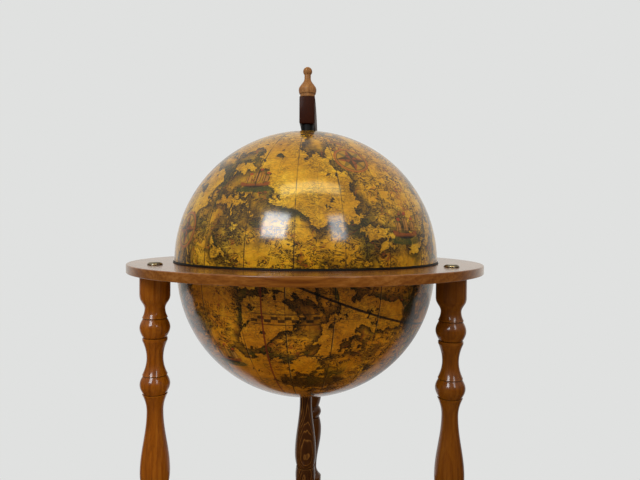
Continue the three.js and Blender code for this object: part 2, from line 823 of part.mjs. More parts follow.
function makeLeaf(bottom, facesUp, ownKnuckle) {
  const headTop = facesUp ? bottom + leafThickness : bottom;
  const plate = box(arcThickness, barrelY - leafFront, leafThickness, 0, (barrelY + leafFront) / 2, bottom);
  const rolls = knuckleXs.filter((_, i) => ownKnuckle(i)).map((x) => (
    crossRod(barrelRadius, knuckleWidth, holeFacets).translate(x, barrelY, barrelHeight)));
  const reach = barrelRadius + seatGap;
  const clears = knuckleXs.filter((_, i) => !ownKnuckle(i)).map((x) => (
    box(knucklePitch + seatGap, 2 * reach, 2 * reach, x, barrelY, barrelHeight - reach)));
  const bore = crossRod(hingePinRadius + holeGap, arcThickness + 2 * cutOverrun, smallFacets)
    .translate(0, barrelY, barrelHeight);
  const sinks = leafScrewYs.map((y) => leafScrew(headTop, facesUp, holeGap).translate(0, y, 0));
  const bare = cut(plate, ...clears);
  return cut(join(bare, ...rolls), bore, ...sinks);
}

// A countersunk screw whose head is flush with a leaf; with a gap it is the hole that takes it
function leafScrew(headTop, facesUp, gap) {
  const over = gap > 0 ? cutOverrun : 0;
  const outline = new Turning(over, leafScrewHead + gap);
  if (over > 0) outline.straight(over);
  const geometry = outline
    .to(leafScrewRadius + gap, -leafThickness)
    .straight(seatGap + leafScrewBite)
    .close()
    .geometry(screwFacets);
  if (!facesUp) geometry.rotateX(Math.PI);
  return geometry.translate(0, 0, headTop);
}

const lowerLeafBottom = ringTop + seatGap;
const upperLeafBottom = barrelHeight + barrelRadius - leafThickness;
place('hinge_lower_leaf', makeLeaf(lowerLeafBottom, true, (i) => i % 2 === 0), paint.brass);
place('hinge_upper_leaf', makeLeaf(upperLeafBottom, false, (i) => i % 2 === 1), paint.brass);
place('hinge_pin', crossRod(hingePinRadius, arcThickness, smallFacets).translate(0, barrelY, barrelHeight), paint.brass);
leafScrewYs.forEach((y, i) => {
  place(`ring_hinge_screw_${i + 1}`, leafScrew(lowerLeafBottom + leafThickness, true, 0), paint.brass, 0, y);
  place(`arc_hinge_screw_${i + 1}`, leafScrew(upperLeafBottom, false, 0), paint.brass, 0, y);
});

// Castors: a flanged socket in each foot, a swivelling fork trailing outwards, a riveted axle and a wheel
const socketTop = castorHeight - seatGap;
const crownTop = socketTop - socketFlange - seatGap;
const cheekInner = wheelWidth / 2 + wheelSideGap;
const cheekOuter = cheekInner + cheekThickness;
const axleBore = axleRadius + holeGap;
const hubHalf = cheekInner - seatGap;
const webHalf = webThickness / 2;
const tyreInner = wheelRadius - tyreThickness;

function makeSocket() {
  const outline = new Turning(socketTop + socketDepth, socketRadius)
    .to(socketRadius, socketTop)
    .step(socketFlangeRadius)
    .straight(socketFlange);
  return outline.close(stemRadius + holeGap, socketFlange + stemLength + seatGap).geometry(holeFacets);
}

function makeFork() {
  const crown = rod(crownRadius, crownThickness, holeFacets, 0, 0, crownTop - crownThickness / 2);
  const stem = rod(stemRadius, stemLength + crownThickness, smallFacets, 0, 0,
    crownTop + (stemLength - crownThickness) / 2);
  const crownUnder = crownTop - crownThickness / 2;
  const shape = new THREE.Shape();
  shape.moveTo(-crownRadius * Math.SQRT1_2, crownUnder);
  shape.lineTo(castorTrail - cheekBossRadius, wheelRadius);
  shape.absarc(castorTrail, wheelRadius, cheekBossRadius, Math.PI, 2 * Math.PI, false);
  shape.lineTo(crownRadius * Math.SQRT1_2, crownUnder);
  const cheek = () => new THREE.ExtrudeGeometry(shape, {
    depth: cheekThickness, bevelEnabled: false, curveSegments: screwFacets / 2,
  }).rotateX(Math.PI / 2);
  const near = cheek().translate(0, -cheekInner, 0);
  const far = cheek().translate(0, cheekOuter, 0);
  const bore = new THREE.CylinderGeometry(axleBore, axleBore, 2 * (cheekOuter + cutOverrun), smallFacets)
    .translate(castorTrail, 0, wheelRadius);
  return cut(join(crown, stem, near, far), bore);
}

function makeAxle() {
  const half = cheekOuter + seatGap;
  return new Turning(half + rivetHeadHeight, rivetHeadRadius / 2)
    .curve(rivetHeadHeight, rivetHeadRadius, rounded, 2)
    .step(axleRadius)
    .straight(2 * half)
    .step(rivetHeadRadius)
    .curve(rivetHeadHeight, rivetHeadRadius / 2, hollow, 2)
    .close()
    .geometry(smallFacets)
    .rotateX(Math.PI / 2)
    .translate(castorTrail, 0, wheelRadius);
}

function makeWheel() {
  const half = wheelWidth / 2;
  const side = [
    [hubRadius, hubHalf], [hubRadius, webHalf], [tyreInner, webHalf], [tyreInner, half],
    [wheelRadius - tyreRound, half], [wheelRadius, half - tyreRound],
  ];
  const outline = [
    [axleBore, hubHalf],
    ...side,
    ...side.map(([radius, height]) => [radius, -height]).reverse(),
    [axleBore, -hubHalf],
    [axleBore, hubHalf],
  ].map(([radius, height]) => new THREE.Vector2(radius, height));
  return lathe(outline, wheelFacets).rotateX(Math.PI / 2).translate(castorTrail, 0, wheelRadius);
}

legSpots.forEach(([x, y], i) => {
  const turn = legAngles[i];
  place(`${legNames[i]}_castor_socket`, makeSocket(), paint.brass, x, y, 0, turn);
  place(`${legNames[i]}_castor_fork`, makeFork(), paint.brass, x, y, 0, turn);
  place(`${legNames[i]}_castor_axle`, makeAxle(), paint.steel, x, y, 0, turn);
  place(`${legNames[i]}_castor_wheel`, makeWheel(), paint.wheel, x, y, 0, turn);
});

export default globeBar;
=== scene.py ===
import math

import bmesh
import bpy
from mathutils import Matrix, Vector


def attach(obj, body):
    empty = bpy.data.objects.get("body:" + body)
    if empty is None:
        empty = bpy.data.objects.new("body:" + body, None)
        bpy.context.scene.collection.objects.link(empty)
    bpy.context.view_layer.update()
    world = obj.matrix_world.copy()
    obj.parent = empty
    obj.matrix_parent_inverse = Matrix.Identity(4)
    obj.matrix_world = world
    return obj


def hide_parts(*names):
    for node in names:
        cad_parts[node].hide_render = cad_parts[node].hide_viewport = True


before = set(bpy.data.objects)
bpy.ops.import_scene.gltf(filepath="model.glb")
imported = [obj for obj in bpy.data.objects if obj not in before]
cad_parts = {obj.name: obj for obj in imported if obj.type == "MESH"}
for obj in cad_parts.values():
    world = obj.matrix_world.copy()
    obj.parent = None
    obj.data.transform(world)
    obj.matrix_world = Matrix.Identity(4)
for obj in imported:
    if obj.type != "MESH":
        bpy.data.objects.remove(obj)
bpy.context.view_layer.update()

MM = 0.001


# Camera: held level with the ring, just right of the globe's axis, about 80 cm in front of it. The lens
# is a short one, so the nearer ring edge looks wide and the legs run out of the picture.
camera_place = Vector((40, -800.5, 677.8)) * MM
camera_yaw, camera_pitch, camera_roll = -0.02383, 0.02053, 0.00661
focal_share = 510.41 / 640
sensor_width = 36

forward = Vector((
    math.sin(camera_yaw) * math.cos(camera_pitch),
    math.cos(camera_yaw) * math.cos(camera_pitch),
    -math.sin(camera_pitch),
))
level_right = Vector((math.cos(camera_yaw), -math.sin(camera_yaw), 0))
level_up = level_right.cross(forward)
picture_right = level_right * math.cos(camera_roll) + level_up * math.sin(camera_roll)
picture_up = level_up * math.cos(camera_roll) - level_right * math.sin(camera_roll)


def put(name, data):
    """Adds an object to the scene"""
    made = bpy.data.objects.new(name, data)
    bpy.context.scene.collection.objects.link(made)
    return made


camera_data = bpy.data.cameras.new("camera")
camera_data.sensor_fit = "HORIZONTAL"
camera_data.sensor_width = sensor_width
camera_data.lens = focal_share * sensor_width
camera_data.clip_start = 0.02
camera = put("camera", camera_data)
camera.matrix_world = Matrix.Translation(camera_place) @ Matrix((
    picture_right, picture_up, -forward)).transposed().to_4x4()
bpy.context.scene.camera = camera
bpy.context.scene.view_settings.view_transform = "Standard"


# Room and lamps: a pale wall behind, two tall windows behind the camera and a long ceiling light, which
# give the two square glints and the wide sheen on the varnish. The rest of the room is a dim fill, stronger
# from both sides.
def paint(red, green, blue):
    """A colour as it is seen on a screen, 0 to 255 a channel, made linear for the shader"""
    shares = [channel / 255 for channel in (red, green, blue)]
    return (*[s / 12.92 if s <= 0.04045 else ((s + 0.055) / 1.055) ** 2.4 for s in shares], 1)


class Field:
    """A number that varies over a surface. An expression on fields adds the Math nodes that work it out."""

    def __init__(self, shader, socket):
        self.shader = shader
        self.socket = socket

    def math(self, operation, *others):
        return self.shader.field("Math", dict(enumerate((self, *others))), operation=operation)

    def __add__(self, other):
        return self.math("ADD", other)

    __radd__ = __add__

    def __sub__(self, other):
        return self.math("SUBTRACT", other)

    def __rsub__(self, other):
        return self.math("MULTIPLY_ADD", -1, other)

    def __mul__(self, other):
        return self.math("MULTIPLY", other)

    __rmul__ = __mul__

    def __truediv__(self, other):
        return self.math("DIVIDE", other)

    def __abs__(self):
        return self.math("ABSOLUTE")

    def __pow__(self, power):
        return self.math("POWER", power)

    def root(self):
        return self.math("SQRT")

    def sine(self):
        return self.math("SINE")

    def near(self, pitch):
        """Distance to the nearest multiple of the pitch"""
        return self.math("PINGPONG", pitch / 2)

    def most(self, other):
        return self.math("MAXIMUM", other)

    def rise(self, start, end):
        """0 at start, 1 at end, with a soft step between"""
        ends = {"Value": self, "From Min": start, "From Max": end}
        return self.shader.field("MapRange", ends, interpolation_type="SMOOTHSTEP")

    def fall(self, start, end):
        return 1 - self.rise(start, end)


class Shader:
    """A node tree with one output, and the calls that add nodes to it"""

    def __init__(self, tree, kind):
        self.tree = tree
        tree.nodes.clear()
        self.out = tree.nodes.new("ShaderNodeOutput" + kind)

    def show(self, surface):
        self.tree.links.new(surface, self.out.inputs["Surface"])

    def feed(self, node, values):
        for key, value in values.items():
            if isinstance(value, Field):
                value = value.socket
            if isinstance(value, bpy.types.NodeSocket):
                self.tree.links.new(value, node.inputs[key])
            else:
                node.inputs[key].default_value = value

    def node(self, kind, values, output=0, **settings):
        """Adds a node of a kind, with its settings made first, and gives back one of its outputs"""
        node = self.tree.nodes.new("ShaderNode" + kind)
        for key, value in settings.items():
            if key == "stops":
                ramp = node.color_ramp.elements
                while len(ramp) < len(value):
                    ramp.new(1)
                for stop, (place, colour) in zip(ramp, value):
                    stop.position, stop.color = place, colour
            else:
                setattr(node, key, value)
        self.feed(node, values)
        return node.outputs[output]

    def field(self, kind, values, output=0, **settings):
        return Field(self, self.node(kind, values, output, **settings))

    def blend(self, share, first, second):
        """Two colours, mixed by a share"""
        return self.node("Mix", {0: share, 6: first, 7: second}, 2, data_type="RGBA")

    def vector(self, operation, *values):
        return self.node("VectorMath", dict(enumerate(values)), operation=operation)

    def measure(self, operation, *values):
        """A number from vectors, such as a length or a dot product"""
        return self.field("VectorMath", dict(enumerate(values)), "Value", operation=operation)

    def split(self, vector):
        """The X, Y and Z of a vector"""
        return [self.field("SeparateXYZ", {0: vector}, i) for i in range(3)]

    def rays(self):
        """1 for the rays that come straight from the camera, off a gloss and through a glass"""
        kinds = ("Camera", "Glossy", "Transmission")
        return [self.field("LightPath", {}, f"Is {kind} Ray") for kind in kinds]


wall_colour = paint(224, 225, 224)
mirrored_wall_colour = paint(226, 222, 214)
room_colour = paint(172, 171, 168)
shade_colour = paint(22, 19, 15)
fill_colour = (0.92, 0.95, 1.0, 1)
fill_strength, side_fill = 0.19, 0.86
room_sides, room_heights = (0.22, 0.95), (-0.02, 0.6)

world = bpy.data.worlds.new("room")
world.use_nodes = True
bpy.context.scene.world = world
room = Shader(world.node_tree, "World")
room_across, room_back, room_up = room.split(room.node("TexCoord", {}, "Generated"))
room_front = room.blend(room_up.rise(*room_heights), shade_colour, room_colour)
room_mirrored = room.node("Background", {
    "Color": room.blend(room_back.rise(*room_sides), room_front, mirrored_wall_colour)})
room_fill = room.node("Background", {
    "Color": fill_colour, "Strength": room_across * room_across * side_fill + fill_strength})
room_wall = room.node("Background", {"Color": wall_colour})
direct, mirrored, through = room.rays()
room_bounce = room.node("MixShader", {0: mirrored, 1: room_fill, 2: room_mirrored})
room.show(room.node("MixShader", {0: direct.most(through), 1: room_bounce, 2: room_wall}))

globe_heart = Vector((0, 0, 628.5)) * MM
daylight, lamplight = (0.84, 0.93, 1.0), (1.0, 0.78, 0.3)


def lamp(name, azimuth, elevation, distance, width, height, power, colour):
    """A rectangle of light that faces the globe; azimuth is counted from the front towards the right"""
    light = bpy.data.lights.new(name, "AREA")
    light.shape = "RECTANGLE"
    light.size, light.size_y = width, height
    light.energy = power
    light.color = colour
    azimuth, elevation = math.radians(azimuth), math.radians(elevation)
    way = Vector((math.sin(azimuth) * math.cos(elevation), -math.cos(azimuth) * math.cos(elevation),
                  math.sin(elevation)))
    facing = way.to_track_quat("Z", "Y").to_matrix().to_4x4()
    holder = put(name, light)
    holder.matrix_world = Matrix.Translation(globe_heart + way * distance) @ facing
    holder.visible_camera = False


lamp("left_window", -24.8, 29.8, 2.6, width=0.86, height=0.86, power=27, colour=daylight)
lamp("right_window", 29.5, 28.2, 2.6, width=0.5, height=0.86, power=8.5, colour=daylight)
lamp("ceiling_light", 8, 63, 2.3, width=1.7, height=0.4, power=13, colour=lamplight)


# Floor: a pale matt disc under the castors, which keeps their shadow. It fades into the wall's colour
# away from the object, so that no edge of it is seen. The varnish mirrors it dark in front, like the room,
# and a little dimmer on the right.
class Finish(Shader):
    """A material, with one Principled surface and the nodes that feed it"""

    def __init__(self, name, **surface):
        self.material = bpy.data.materials.new(name)
        self.material.use_nodes = True
        super().__init__(self.material.node_tree, "Material")
        self.surface = self.tree.nodes.new("ShaderNodeBsdfPrincipled")
        self.show(self.surface.outputs["BSDF"])
        self.set(**surface)

    def set(self, **surface):
        """Values or links of the surface's sockets, by name with _ for a space"""
        self.feed(self.surface, {name.replace("_", " "): value for name, value in surface.items()})

    def stretch(self, spot, shares, turn=(0, 0, 0)):
        return self.node("Mapping", {"Vector": spot, "Rotation": turn, "Scale": shares})

    def place(self, centre=(0, 0, 0), turn=(0, 0, 0), shares=(1, 1, 1)):
        """The spot on the piece, counted from a centre in mm, then turned and stretched"""
        spot = self.node("TexCoord", {}, "Object")
        if tuple(centre) != (0, 0, 0):
            spot = self.vector("SUBTRACT", spot, Vector(centre) * MM)
        return self.stretch(spot, shares, turn)

    def noise(self, spot, scale, detail=2, roughness=0.5, distortion=0.0):
        return self.field("TexNoise", {"Vector": spot, "Scale": scale, "Detail": detail,
                                       "Roughness": roughness, "Distortion": distortion})

    def bump(self, height, depth, strength):
        """A surface normal from a height field; depth is the height in metres that a value of 1 stands for"""
        return self.node("Bump", {"Height": height, "Distance": depth, "Strength": strength})


floor_reach = 3.0
floor_fade, floor_past_shelf = (0.36, 0.58), (0.24, 0.32)
floor_behind, floor_right, right_dimming = (0.2, 0.42), (0.05, 0.4), 0.5

floor_finish = Finish("floor_paint", Roughness=0.9, Specular_IOR_Level=0.15)
floor_spot = floor_finish.place()
floor_grain = floor_finish.noise(floor_spot, 60, 4)
floor_finish.set(Base_Color=floor_finish.blend(floor_grain, paint(214, 214, 213), paint(222, 222, 221)))
floor_out = floor_finish.measure("LENGTH", floor_spot)
floor_way = floor_finish.vector("NORMALIZE", floor_finish.place(globe_heart / MM))
floor_across, floor_back, _ = floor_finish.split(floor_way)
direct, mirrored, through = floor_finish.rays()
floor_bright = floor_back.rise(*floor_behind) * (1 - floor_across.rise(*floor_right) * right_dimming)
floor_glow_colour = floor_finish.blend(floor_bright.most(direct).most(through), shade_colour, wall_colour)
floor_glow = floor_finish.node("Emission", {"Color": floor_glow_colour, "Strength": 1})
floor_glowing = (floor_out.rise(*floor_fade) * direct.most(through)).most(
    floor_out.rise(*floor_past_shelf) * mirrored)
floor_finish.show(floor_finish.node("MixShader", {
    0: floor_glowing, 1: floor_finish.surface.outputs[0], 2: floor_glow}))

floor_shape = bmesh.new()
bmesh.ops.create_circle(floor_shape, cap_ends=True, segments=96, radius=floor_reach)
floor_mesh = bpy.data.meshes.new("floor")
floor_shape.to_mesh(floor_mesh)
floor_shape.free()
floor_mesh.materials.append(floor_finish.material)
put("floor", floor_mesh)


# Castors: a brass socket in each foot, a pressed brass fork that swivels under it on its stem and trails
# outwards, and a dark nylon wheel on a riveted steel axle.
leg_circle = 230.6
leg_places = {"left": math.radians(210), "right": math.radians(330), "rear": math.radians(90)}


def leg_spot(side):
    angle = leg_places[side]
    return leg_circle * math.cos(angle), leg_circle * math.sin(angle)


def round_points(across, up, radius, first, last, steps, height=None):
    """Points round a centre from one angle to another, in degrees counted from outwards, up. The height is
    given where it isn't the radius."""
    height = radius if height is None else height
    angles = [math.radians(first + (last - first) * i / steps) for i in range(steps + 1)]
    return [(across + radius * math.cos(angle), up + height * math.sin(angle)) for angle in angles]


cavity_reach = 2.2
full_groove, full_ridge = 1.2, 0.7


def turn(points, steps=72, closed=False, shape=None, cavity=cavity_reach):
    """A body turned from an outline in mm; its groove and ridge layers say how deep each spot lies between
    its neighbours, or how far it stands out"""
    shape = shape or bmesh.new()
    groove = shape.verts.layers.float.get("groove") or shape.verts.layers.float.new("groove")
    ridge = shape.verts.layers.float.get("ridge") or shape.verts.layers.float.new("ridge")
    verts = []
    for radius, height in points:
        vert = shape.verts.new((radius, 0, height))
        around = [r for r, h in points if abs(h - height) < cavity and r > 0]
        level = sum(around) / len(around) if around else radius
        vert[groove] = max(0.0, min(1.0, (level - radius) / full_groove))
        vert[ridge] = max(0.0, min(1.0, (radius - level) / full_ridge))
        verts.append(vert)
    pairs = list(zip(verts, verts[1:]))
    if closed:
        pairs.append((verts[-1], verts[0]))
    edges = [shape.edges.new(pair) for pair in pairs]
    bmesh.ops.spin(shape, geom=verts + edges, axis=(0, 0, 1), cent=(0, 0, 0), steps=steps,
                   angle=2 * math.pi, use_merge=True)
    bmesh.ops.remove_doubles(shape, verts=shape.verts, dist=0.002)
    bmesh.ops.dissolve_degenerate(shape, edges=shape.edges, dist=0.001)
    bmesh.ops.recalc_face_normals(shape, faces=shape.faces)
    return shape


def rod(radius, top, bottom, steps, upper, lower=None, bore=0):
    """A turned rod, or a ring where it has a bore, its upper and lower outer corners eased"""
    lower = upper if lower is None else lower
    return turn([(bore, top), (radius - upper, top), (radius, top - upper), (radius, bottom + lower),
                 (radius - lower, bottom), (bore, bottom)], steps, closed=bore > 0)


def thicken(shape, faces, way):
    """Gives faces a thickness in one way, and gives back the vertices on their far side"""
    grown = bmesh.ops.extrude_face_region(shape, geom=faces)["geom"]
    raised = [part for part in grown if isinstance(part, bmesh.types.BMVert)]
    bmesh.ops.translate(shape, vec=way, verts=raised)
    return raised


def rims(shape, axis, own=None):
    """The sharp edges that lie level across an axis, of all vertices or of some"""
    return [edge for edge in shape.edges if len(edge.link_faces) == 2 and edge.calc_face_angle(0) > 1.2
            and abs(edge.verts[0].co[axis] - edge.verts[1].co[axis]) < 0.01
            and (own is None or own.issuperset(edge.verts))]


def round_off(shape, edges, size, profile=0.5):
    bmesh.ops.bevel(shape, geom=edges, offset=size, segments=2, profile=profile, affect="EDGES", material=-1)


def move(shape, x=0, y=0, z=0, angle=0, axis="Z"):
    """Turns a shape about an axis through the origin, then shifts it"""
    if angle:
        bmesh.ops.rotate(shape, cent=(0, 0, 0), matrix=Matrix.Rotation(angle, 3, axis), verts=shape.verts)
    bmesh.ops.translate(shape, vec=(x, y, z), verts=shape.verts)
    return shape


def piece(name, shape, finishes, node, body="root", sharp=38):
    """Makes a shape drawn in mm into a named piece that rides on a body and stands for its CAD node"""
    bmesh.ops.scale(shape, vec=(MM, MM, MM), verts=shape.verts)
    mesh = bpy.data.meshes.new(name)
    shape.to_mesh(mesh)
    shape.free()
    mesh.polygons.foreach_set("use_smooth", [True] * len(mesh.polygons))
    mesh.set_sharp_from_angle(angle=math.radians(sharp))
    for finish in finishes if isinstance(finishes, list) else [finishes]:
        mesh.materials.append(finish.material)
    made = put(name, mesh)
    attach(made, body)
    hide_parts(node)


def metal(name, bright, tarnished, roughness, spread=0.12):
    """A metal with faint cloudy tarnish and fine scratches"""
    finish = Finish(name, Metallic=1.0)
    cloud = finish.noise(finish.place(), 90, 4, 0.6)
    scratches = finish.noise(finish.place(shares=(1, 1, 0.12)), 900, 3)
    finish.set(
        Base_Color=finish.blend(cloud.rise(0.35, 0.7), paint(*bright), paint(*tarnished)),
        Roughness=roughness + spread * (cloud - 0.5) + 0.08 * (scratches - 0.5),
        Normal=finish.bump(scratches, 0.00006, 0.5))
    return finish


brass = metal("brass", (206, 168, 92), (150, 112, 52), 0.3)
steel = metal("steel", (190, 190, 188), (140, 138, 134), 0.32)

nylon = Finish("castor_nylon", Specular_IOR_Level=0.45)
nylon_wear = nylon.noise(nylon.place(), 220, 5, 0.65)
nylon.set(
    Base_Color=nylon.blend(nylon_wear.rise(0.45, 0.75), paint(40, 33, 28), paint(72, 62, 54)),
    Roughness=0.42 + 0.2 * nylon_wear, Normal=nylon.bump(nylon_wear, 0.0001, 0.35))

wheel_radius, wheel_half, hub_half, tread_round = 17, 6, 6.7, 1.6
trail = 12
castor_height = 50
socket_top, socket_flange, socket_radius, socket_length = 49.7, 13.6, 6.1, 22.1
crown_top, crown_radius, crown_thickness = 47.4, 12, 3
cheek_gap, cheek_thickness, boss_radius = 7, 2.4, 6
axle_radius, rivet_radius, rivet_height = 2.3, 3.9, 1.5
stem_radius, stem_length, play = 4, 20, 0.3


def mirrored_down(half):
    """An outline that ends at height 0, with its mirror image below it"""
    return half + [(radius, -height) for radius, height in half[-2::-1]]


def castor_wheel():
    side = [(axle_radius + play, hub_half), (5.5, hub_half), (5.5, 3.4), (6.1, 3), (11.4, 3), (12.2, 3.6),
            (12.2, 5.7), (12.6, wheel_half)]
    tread = round_points(wheel_radius - tread_round, wheel_half - tread_round, tread_round, 90, 0, 6)
    return turn(mirrored_down(side + tread + [(wheel_radius, 2.2), (wheel_radius, 0)]), 48, closed=True)


def castor_fork():
    shape = rod(crown_radius, crown_top, crown_top - crown_thickness, 40, 0.8, 0.4)
    stem_top, stem_foot, stem_ease = crown_top + stem_length, crown_top - 0.2, 1
    turn([(0, stem_top), (stem_radius - stem_ease, stem_top), (stem_radius, stem_top - stem_ease),
          (stem_radius, stem_foot), (0, stem_foot)], 28, shape=shape)
    cheek_width, cheek_top = crown_radius * 0.7, crown_top - 1.5
    cheek = [(-cheek_width, cheek_top), (trail - boss_radius, wheel_radius)]
    cheek += round_points(trail, wheel_radius, boss_radius, 180, 360, 12)[1:] + [(cheek_width, cheek_top)]
    for side in (-1, 1):
        verts = [shape.verts.new((x, side * cheek_gap, z)) for x, z in cheek]
        raised = thicken(shape, [shape.faces.new(verts)], (0, side * cheek_thickness, 0))
        round_off(shape, rims(shape, 1, set(verts + raised)), 0.5)
    bmesh.ops.recalc_face_normals(shape, faces=shape.faces)
    return shape


def castor_axle():
    half = cheek_gap + cheek_thickness + play
    head = round_points(0, half, rivet_radius, 90, 0, 6, rivet_height)[1:]
    return turn(mirrored_down([(0, half + rivet_height), *head, (axle_radius, half), (axle_radius, 0)]), 32)


def castor_socket():
    top, flange_foot, bore, bore_top = socket_top + socket_length, socket_top - 2, stem_radius + play, 70
    return turn([
        (0, top), (socket_radius - 0.6, top), (socket_radius, top - 0.6), (socket_radius, socket_top),
        (socket_flange - 0.7, socket_top), (socket_flange, socket_top - 0.7),
        (socket_flange, flange_foot + 0.5), (socket_flange - 0.5, flange_foot), (bore, flange_foot),
        (bore, bore_top), (0, bore_top)], 40)


def across_trail(shape):
    """Lays a turned part on the wheel's axis, behind the stem"""
    return move(move(shape, angle=math.pi / 2, axis="X"), trail, 0, wheel_radius)


for side, angle in leg_places.items():
    castor = side + "_castor"
    for part, shape, finish, slot, body in (
            ("_wheel", across_trail(castor_wheel()), nylon, "castor_wheel", side + "_wheel"),
            ("_axle", across_trail(castor_axle()), steel, "steel", castor),
            ("_fork", castor_fork(), brass, "brass", castor),
            ("_socket", castor_socket(), brass, "brass", "root")):
        move(shape, *leg_spot(side), 0, angle)
        piece(side + part + "_piece", shape, finish, castor + part, body)


# Feet: short turned beech bulbs, stained brown and lacquered like the legs, screwed up against the shelf
# by a length of threaded rod.
class Profile:
    """A turned outline in mm, drawn downwards from its top end"""

    def __init__(self, radius, height):
        self.points = [(radius, height)]

    def to(self, radius, height):
        self.points.append((radius, height))
        return self

    def step(self, radius):
        return self.to(radius, self.points[-1][1])

    def curve(self, length, radius, ease, steps, swell=0):
        start, top = self.points[-1]
        for i in range(1, steps + 1):
            t = i / steps
            self.to(start + (radius - start) * ease(t) + swell * math.sin(math.pi * t), top - length * t)
        return self

    def straight(self, length, steps):
        return self.curve(length, self.points[-1][0], even, steps)

    def bead(self, length, swell, radius, steps):
        return self.curve(length, radius, even, steps, swell)


def even(t):
    return t


def hollow(t):
    return t * t


def rounded(t):
    return 1 - (1 - t) * (1 - t)


def waisted(t):
    return (1 - math.cos(math.pi * t)) / 2


def wood(name, tones, centre=(0, 0, 0), turned=(0, 0, 0), pith=(55, 20), ring_pitch=6.5,
         roughness=0.34, coat=0.5, coat_roughness=0.16, streak=0.44, rings=0.1, early=0.25,
         groove_stain_and_shade=0.85):
    """Stained beech of three tones, whose grain runs along the piece's own Z after turning; pith is where
    its rings centre"""
    dark, middle, light = (paint(*tone) for tone in tones)
    finish = Finish(name, Coat_Roughness=coat_roughness, Coat_IOR=1.5, Specular_IOR_Level=0.08)
    spot = finish.place(centre, turned)
    warp = finish.node("TexNoise", {
        "Vector": finish.stretch(spot, (1, 1, 0.22)), "Scale": 26, "Detail": 3, "Roughness": 0.55}, 1)
    shift = finish.vector("MULTIPLY", finish.vector("SUBTRACT", warp, (0.5, 0.5, 0.5)), (0.016, 0.016, 0))
    heart = finish.vector("SUBTRACT", finish.vector("ADD", spot, shift), (pith[0] * MM, pith[1] * MM, 0))
    away = finish.measure("LENGTH", finish.vector("MULTIPLY", heart, (1, 1, 0.035)))
    ring = (away / (ring_pitch * MM)).math("FRACT")
    late = ring.rise(early, 0.3 + early * 2.4) * ring.fall(0.93, 1.0)
    streaks = finish.noise(finish.stretch(spot, (1, 1, 0.045)), 420, 4, 0.6)
    broad = finish.noise(finish.stretch(spot, (1, 1, 0.2)), 30, 3, 0.55)
    flecks = finish.noise(finish.stretch(spot, (1, 1, 0.09)), 1300, 1, 0.4).rise(0.61, 0.7)
    peel = finish.noise(spot, 190)
    groove = finish.field("Attribute", {}, "Fac", attribute_name="groove")
    ridge = finish.field("Attribute", {}, "Fac", attribute_name="ridge")
    tone = 0.5 + streak * (streaks - 0.5) - rings * (late - 0.35) + 0.8 * (broad - 0.5)
    colour = finish.node("ValToRGB", {"Fac": tone}, stops=[(0.15, dark), (0.5, middle), (0.85, light)])
    colour = finish.blend(flecks * 0.3, colour, dark)
    # Raised rings of a turning are painted lighter: a painted highlight on them.
    colour = finish.blend(ridge.rise(0.2, 0.9) * 0.5, colour, light)
    # Grooves are darkened towards near black: the stain that gathers in them, and painted shade in the cut.
    colour = finish.blend(groove.rise(0.05, 0.75) * groove_stain_and_shade, colour, paint(20, 8, 1))
    finish.set(
        Base_Color=colour,
        Roughness=roughness + 0.12 * (streaks - 0.5) + 0.1 * flecks,
        Coat_Weight=(coat - 0.4 * groove).most(0),
        Normal=finish.bump(peel * 0.6 + streaks * 0.12 - flecks * 0.1, 0.00022, 0.5))
    return finish


leg_tones = ((88, 38, 2), (140, 72, 6), (170, 98, 18))
# The three legs are one stained beech. The factors below scale each leg's tones as painted light and shade:
# the left leg painted lit, the right leg shaded, and the rear leg in deeper painted shade.
leg_light_and_shade = {"left": 1.03, "right": 0.8, "rear": 0.62}
leg_turns = {"left": 0.4, "right": 2.3, "rear": 4.0}
leg_radius = 20.2
foot_top, foot_collar, foot_groove = 130, 9, 1.4
foot_rod_size = (4, 170.3, 106.3)

turned = foot_top - castor_height - foot_collar - foot_groove
foot_outline = (
    Profile(0, foot_top).step(leg_radius - 0.8).to(leg_radius, foot_top - 0.8).straight(foot_collar - 1.6, 3)
    .to(leg_radius - 0.8, foot_top - foot_collar).to(13.8, foot_top - foot_collar - foot_groove)
    .curve(turned * 0.4, 18.6, waisted, 18).curve(turned * 0.6 - 0.8, 14.2, waisted, 22)
    .to(13.4, castor_height).step(socket_radius + play).points)

leg_finishes = {}
for side in leg_places:
    x, y = leg_spot(side)
    tones = [[channel * leg_light_and_shade[side] for channel in tone] for tone in leg_tones]
    finish = wood("leg_wood_" + side, tones, centre=(x, y, 0), turned=(0.012, -0.01, leg_turns[side]),
                  coat=0.8, coat_roughness=0.11, streak=0.6)
    leg_finishes[side] = finish
    piece(side + "_foot_piece", move(turn(foot_outline), x, y), finish, side + "_foot")
    piece(side + "_rod_piece", move(rod(*foot_rod_size, 20, 0.6), x, y), steel, side + "_foot_rod")


# Lower shelf: a round beech board with a rounded edge. It is held between the legs and the feet, which are
# screwed together through it.
shelf_radius, shelf_top, shelf_bottom, shelf_round = 257.8, 146.3, 130.3, 5
ring_tones = ((92, 44, 4), (128, 72, 16), (158, 100, 42))

shelf_wood = wood("shelf_wood", ring_tones, turned=(0, math.pi / 2, 0.02), pith=(-180, 30), ring_pitch=9,
                  roughness=0.38, coat=0.3)


def board(outer, top, bottom, edge, under, steps=128, inner=0, corner=0.6):
    """A round board, its outer edge rounded above and under, its inner edge eased where it has an opening"""
    rim = [(outer - edge - corner, top), *round_points(outer - edge, top - edge, edge, 90, 0, 7),
           *round_points(outer - under, bottom + under, under, 0, -90, 7), (outer - under - corner, bottom)]
    if not inner:
        return turn([(0, top), *rim, (0, bottom)], steps, cavity=0)
    opening = [(inner + 2 * corner, bottom), (inner + corner, bottom), (inner, bottom + corner),
               (inner, top - corner), (inner + corner, top), (inner + 2 * corner, top)]
    return turn(rim + opening, steps, closed=True, cavity=0)


piece("shelf_piece", board(shelf_radius, shelf_top, shelf_bottom, shelf_round, shelf_round), shelf_wood,
      "lower_shelf")


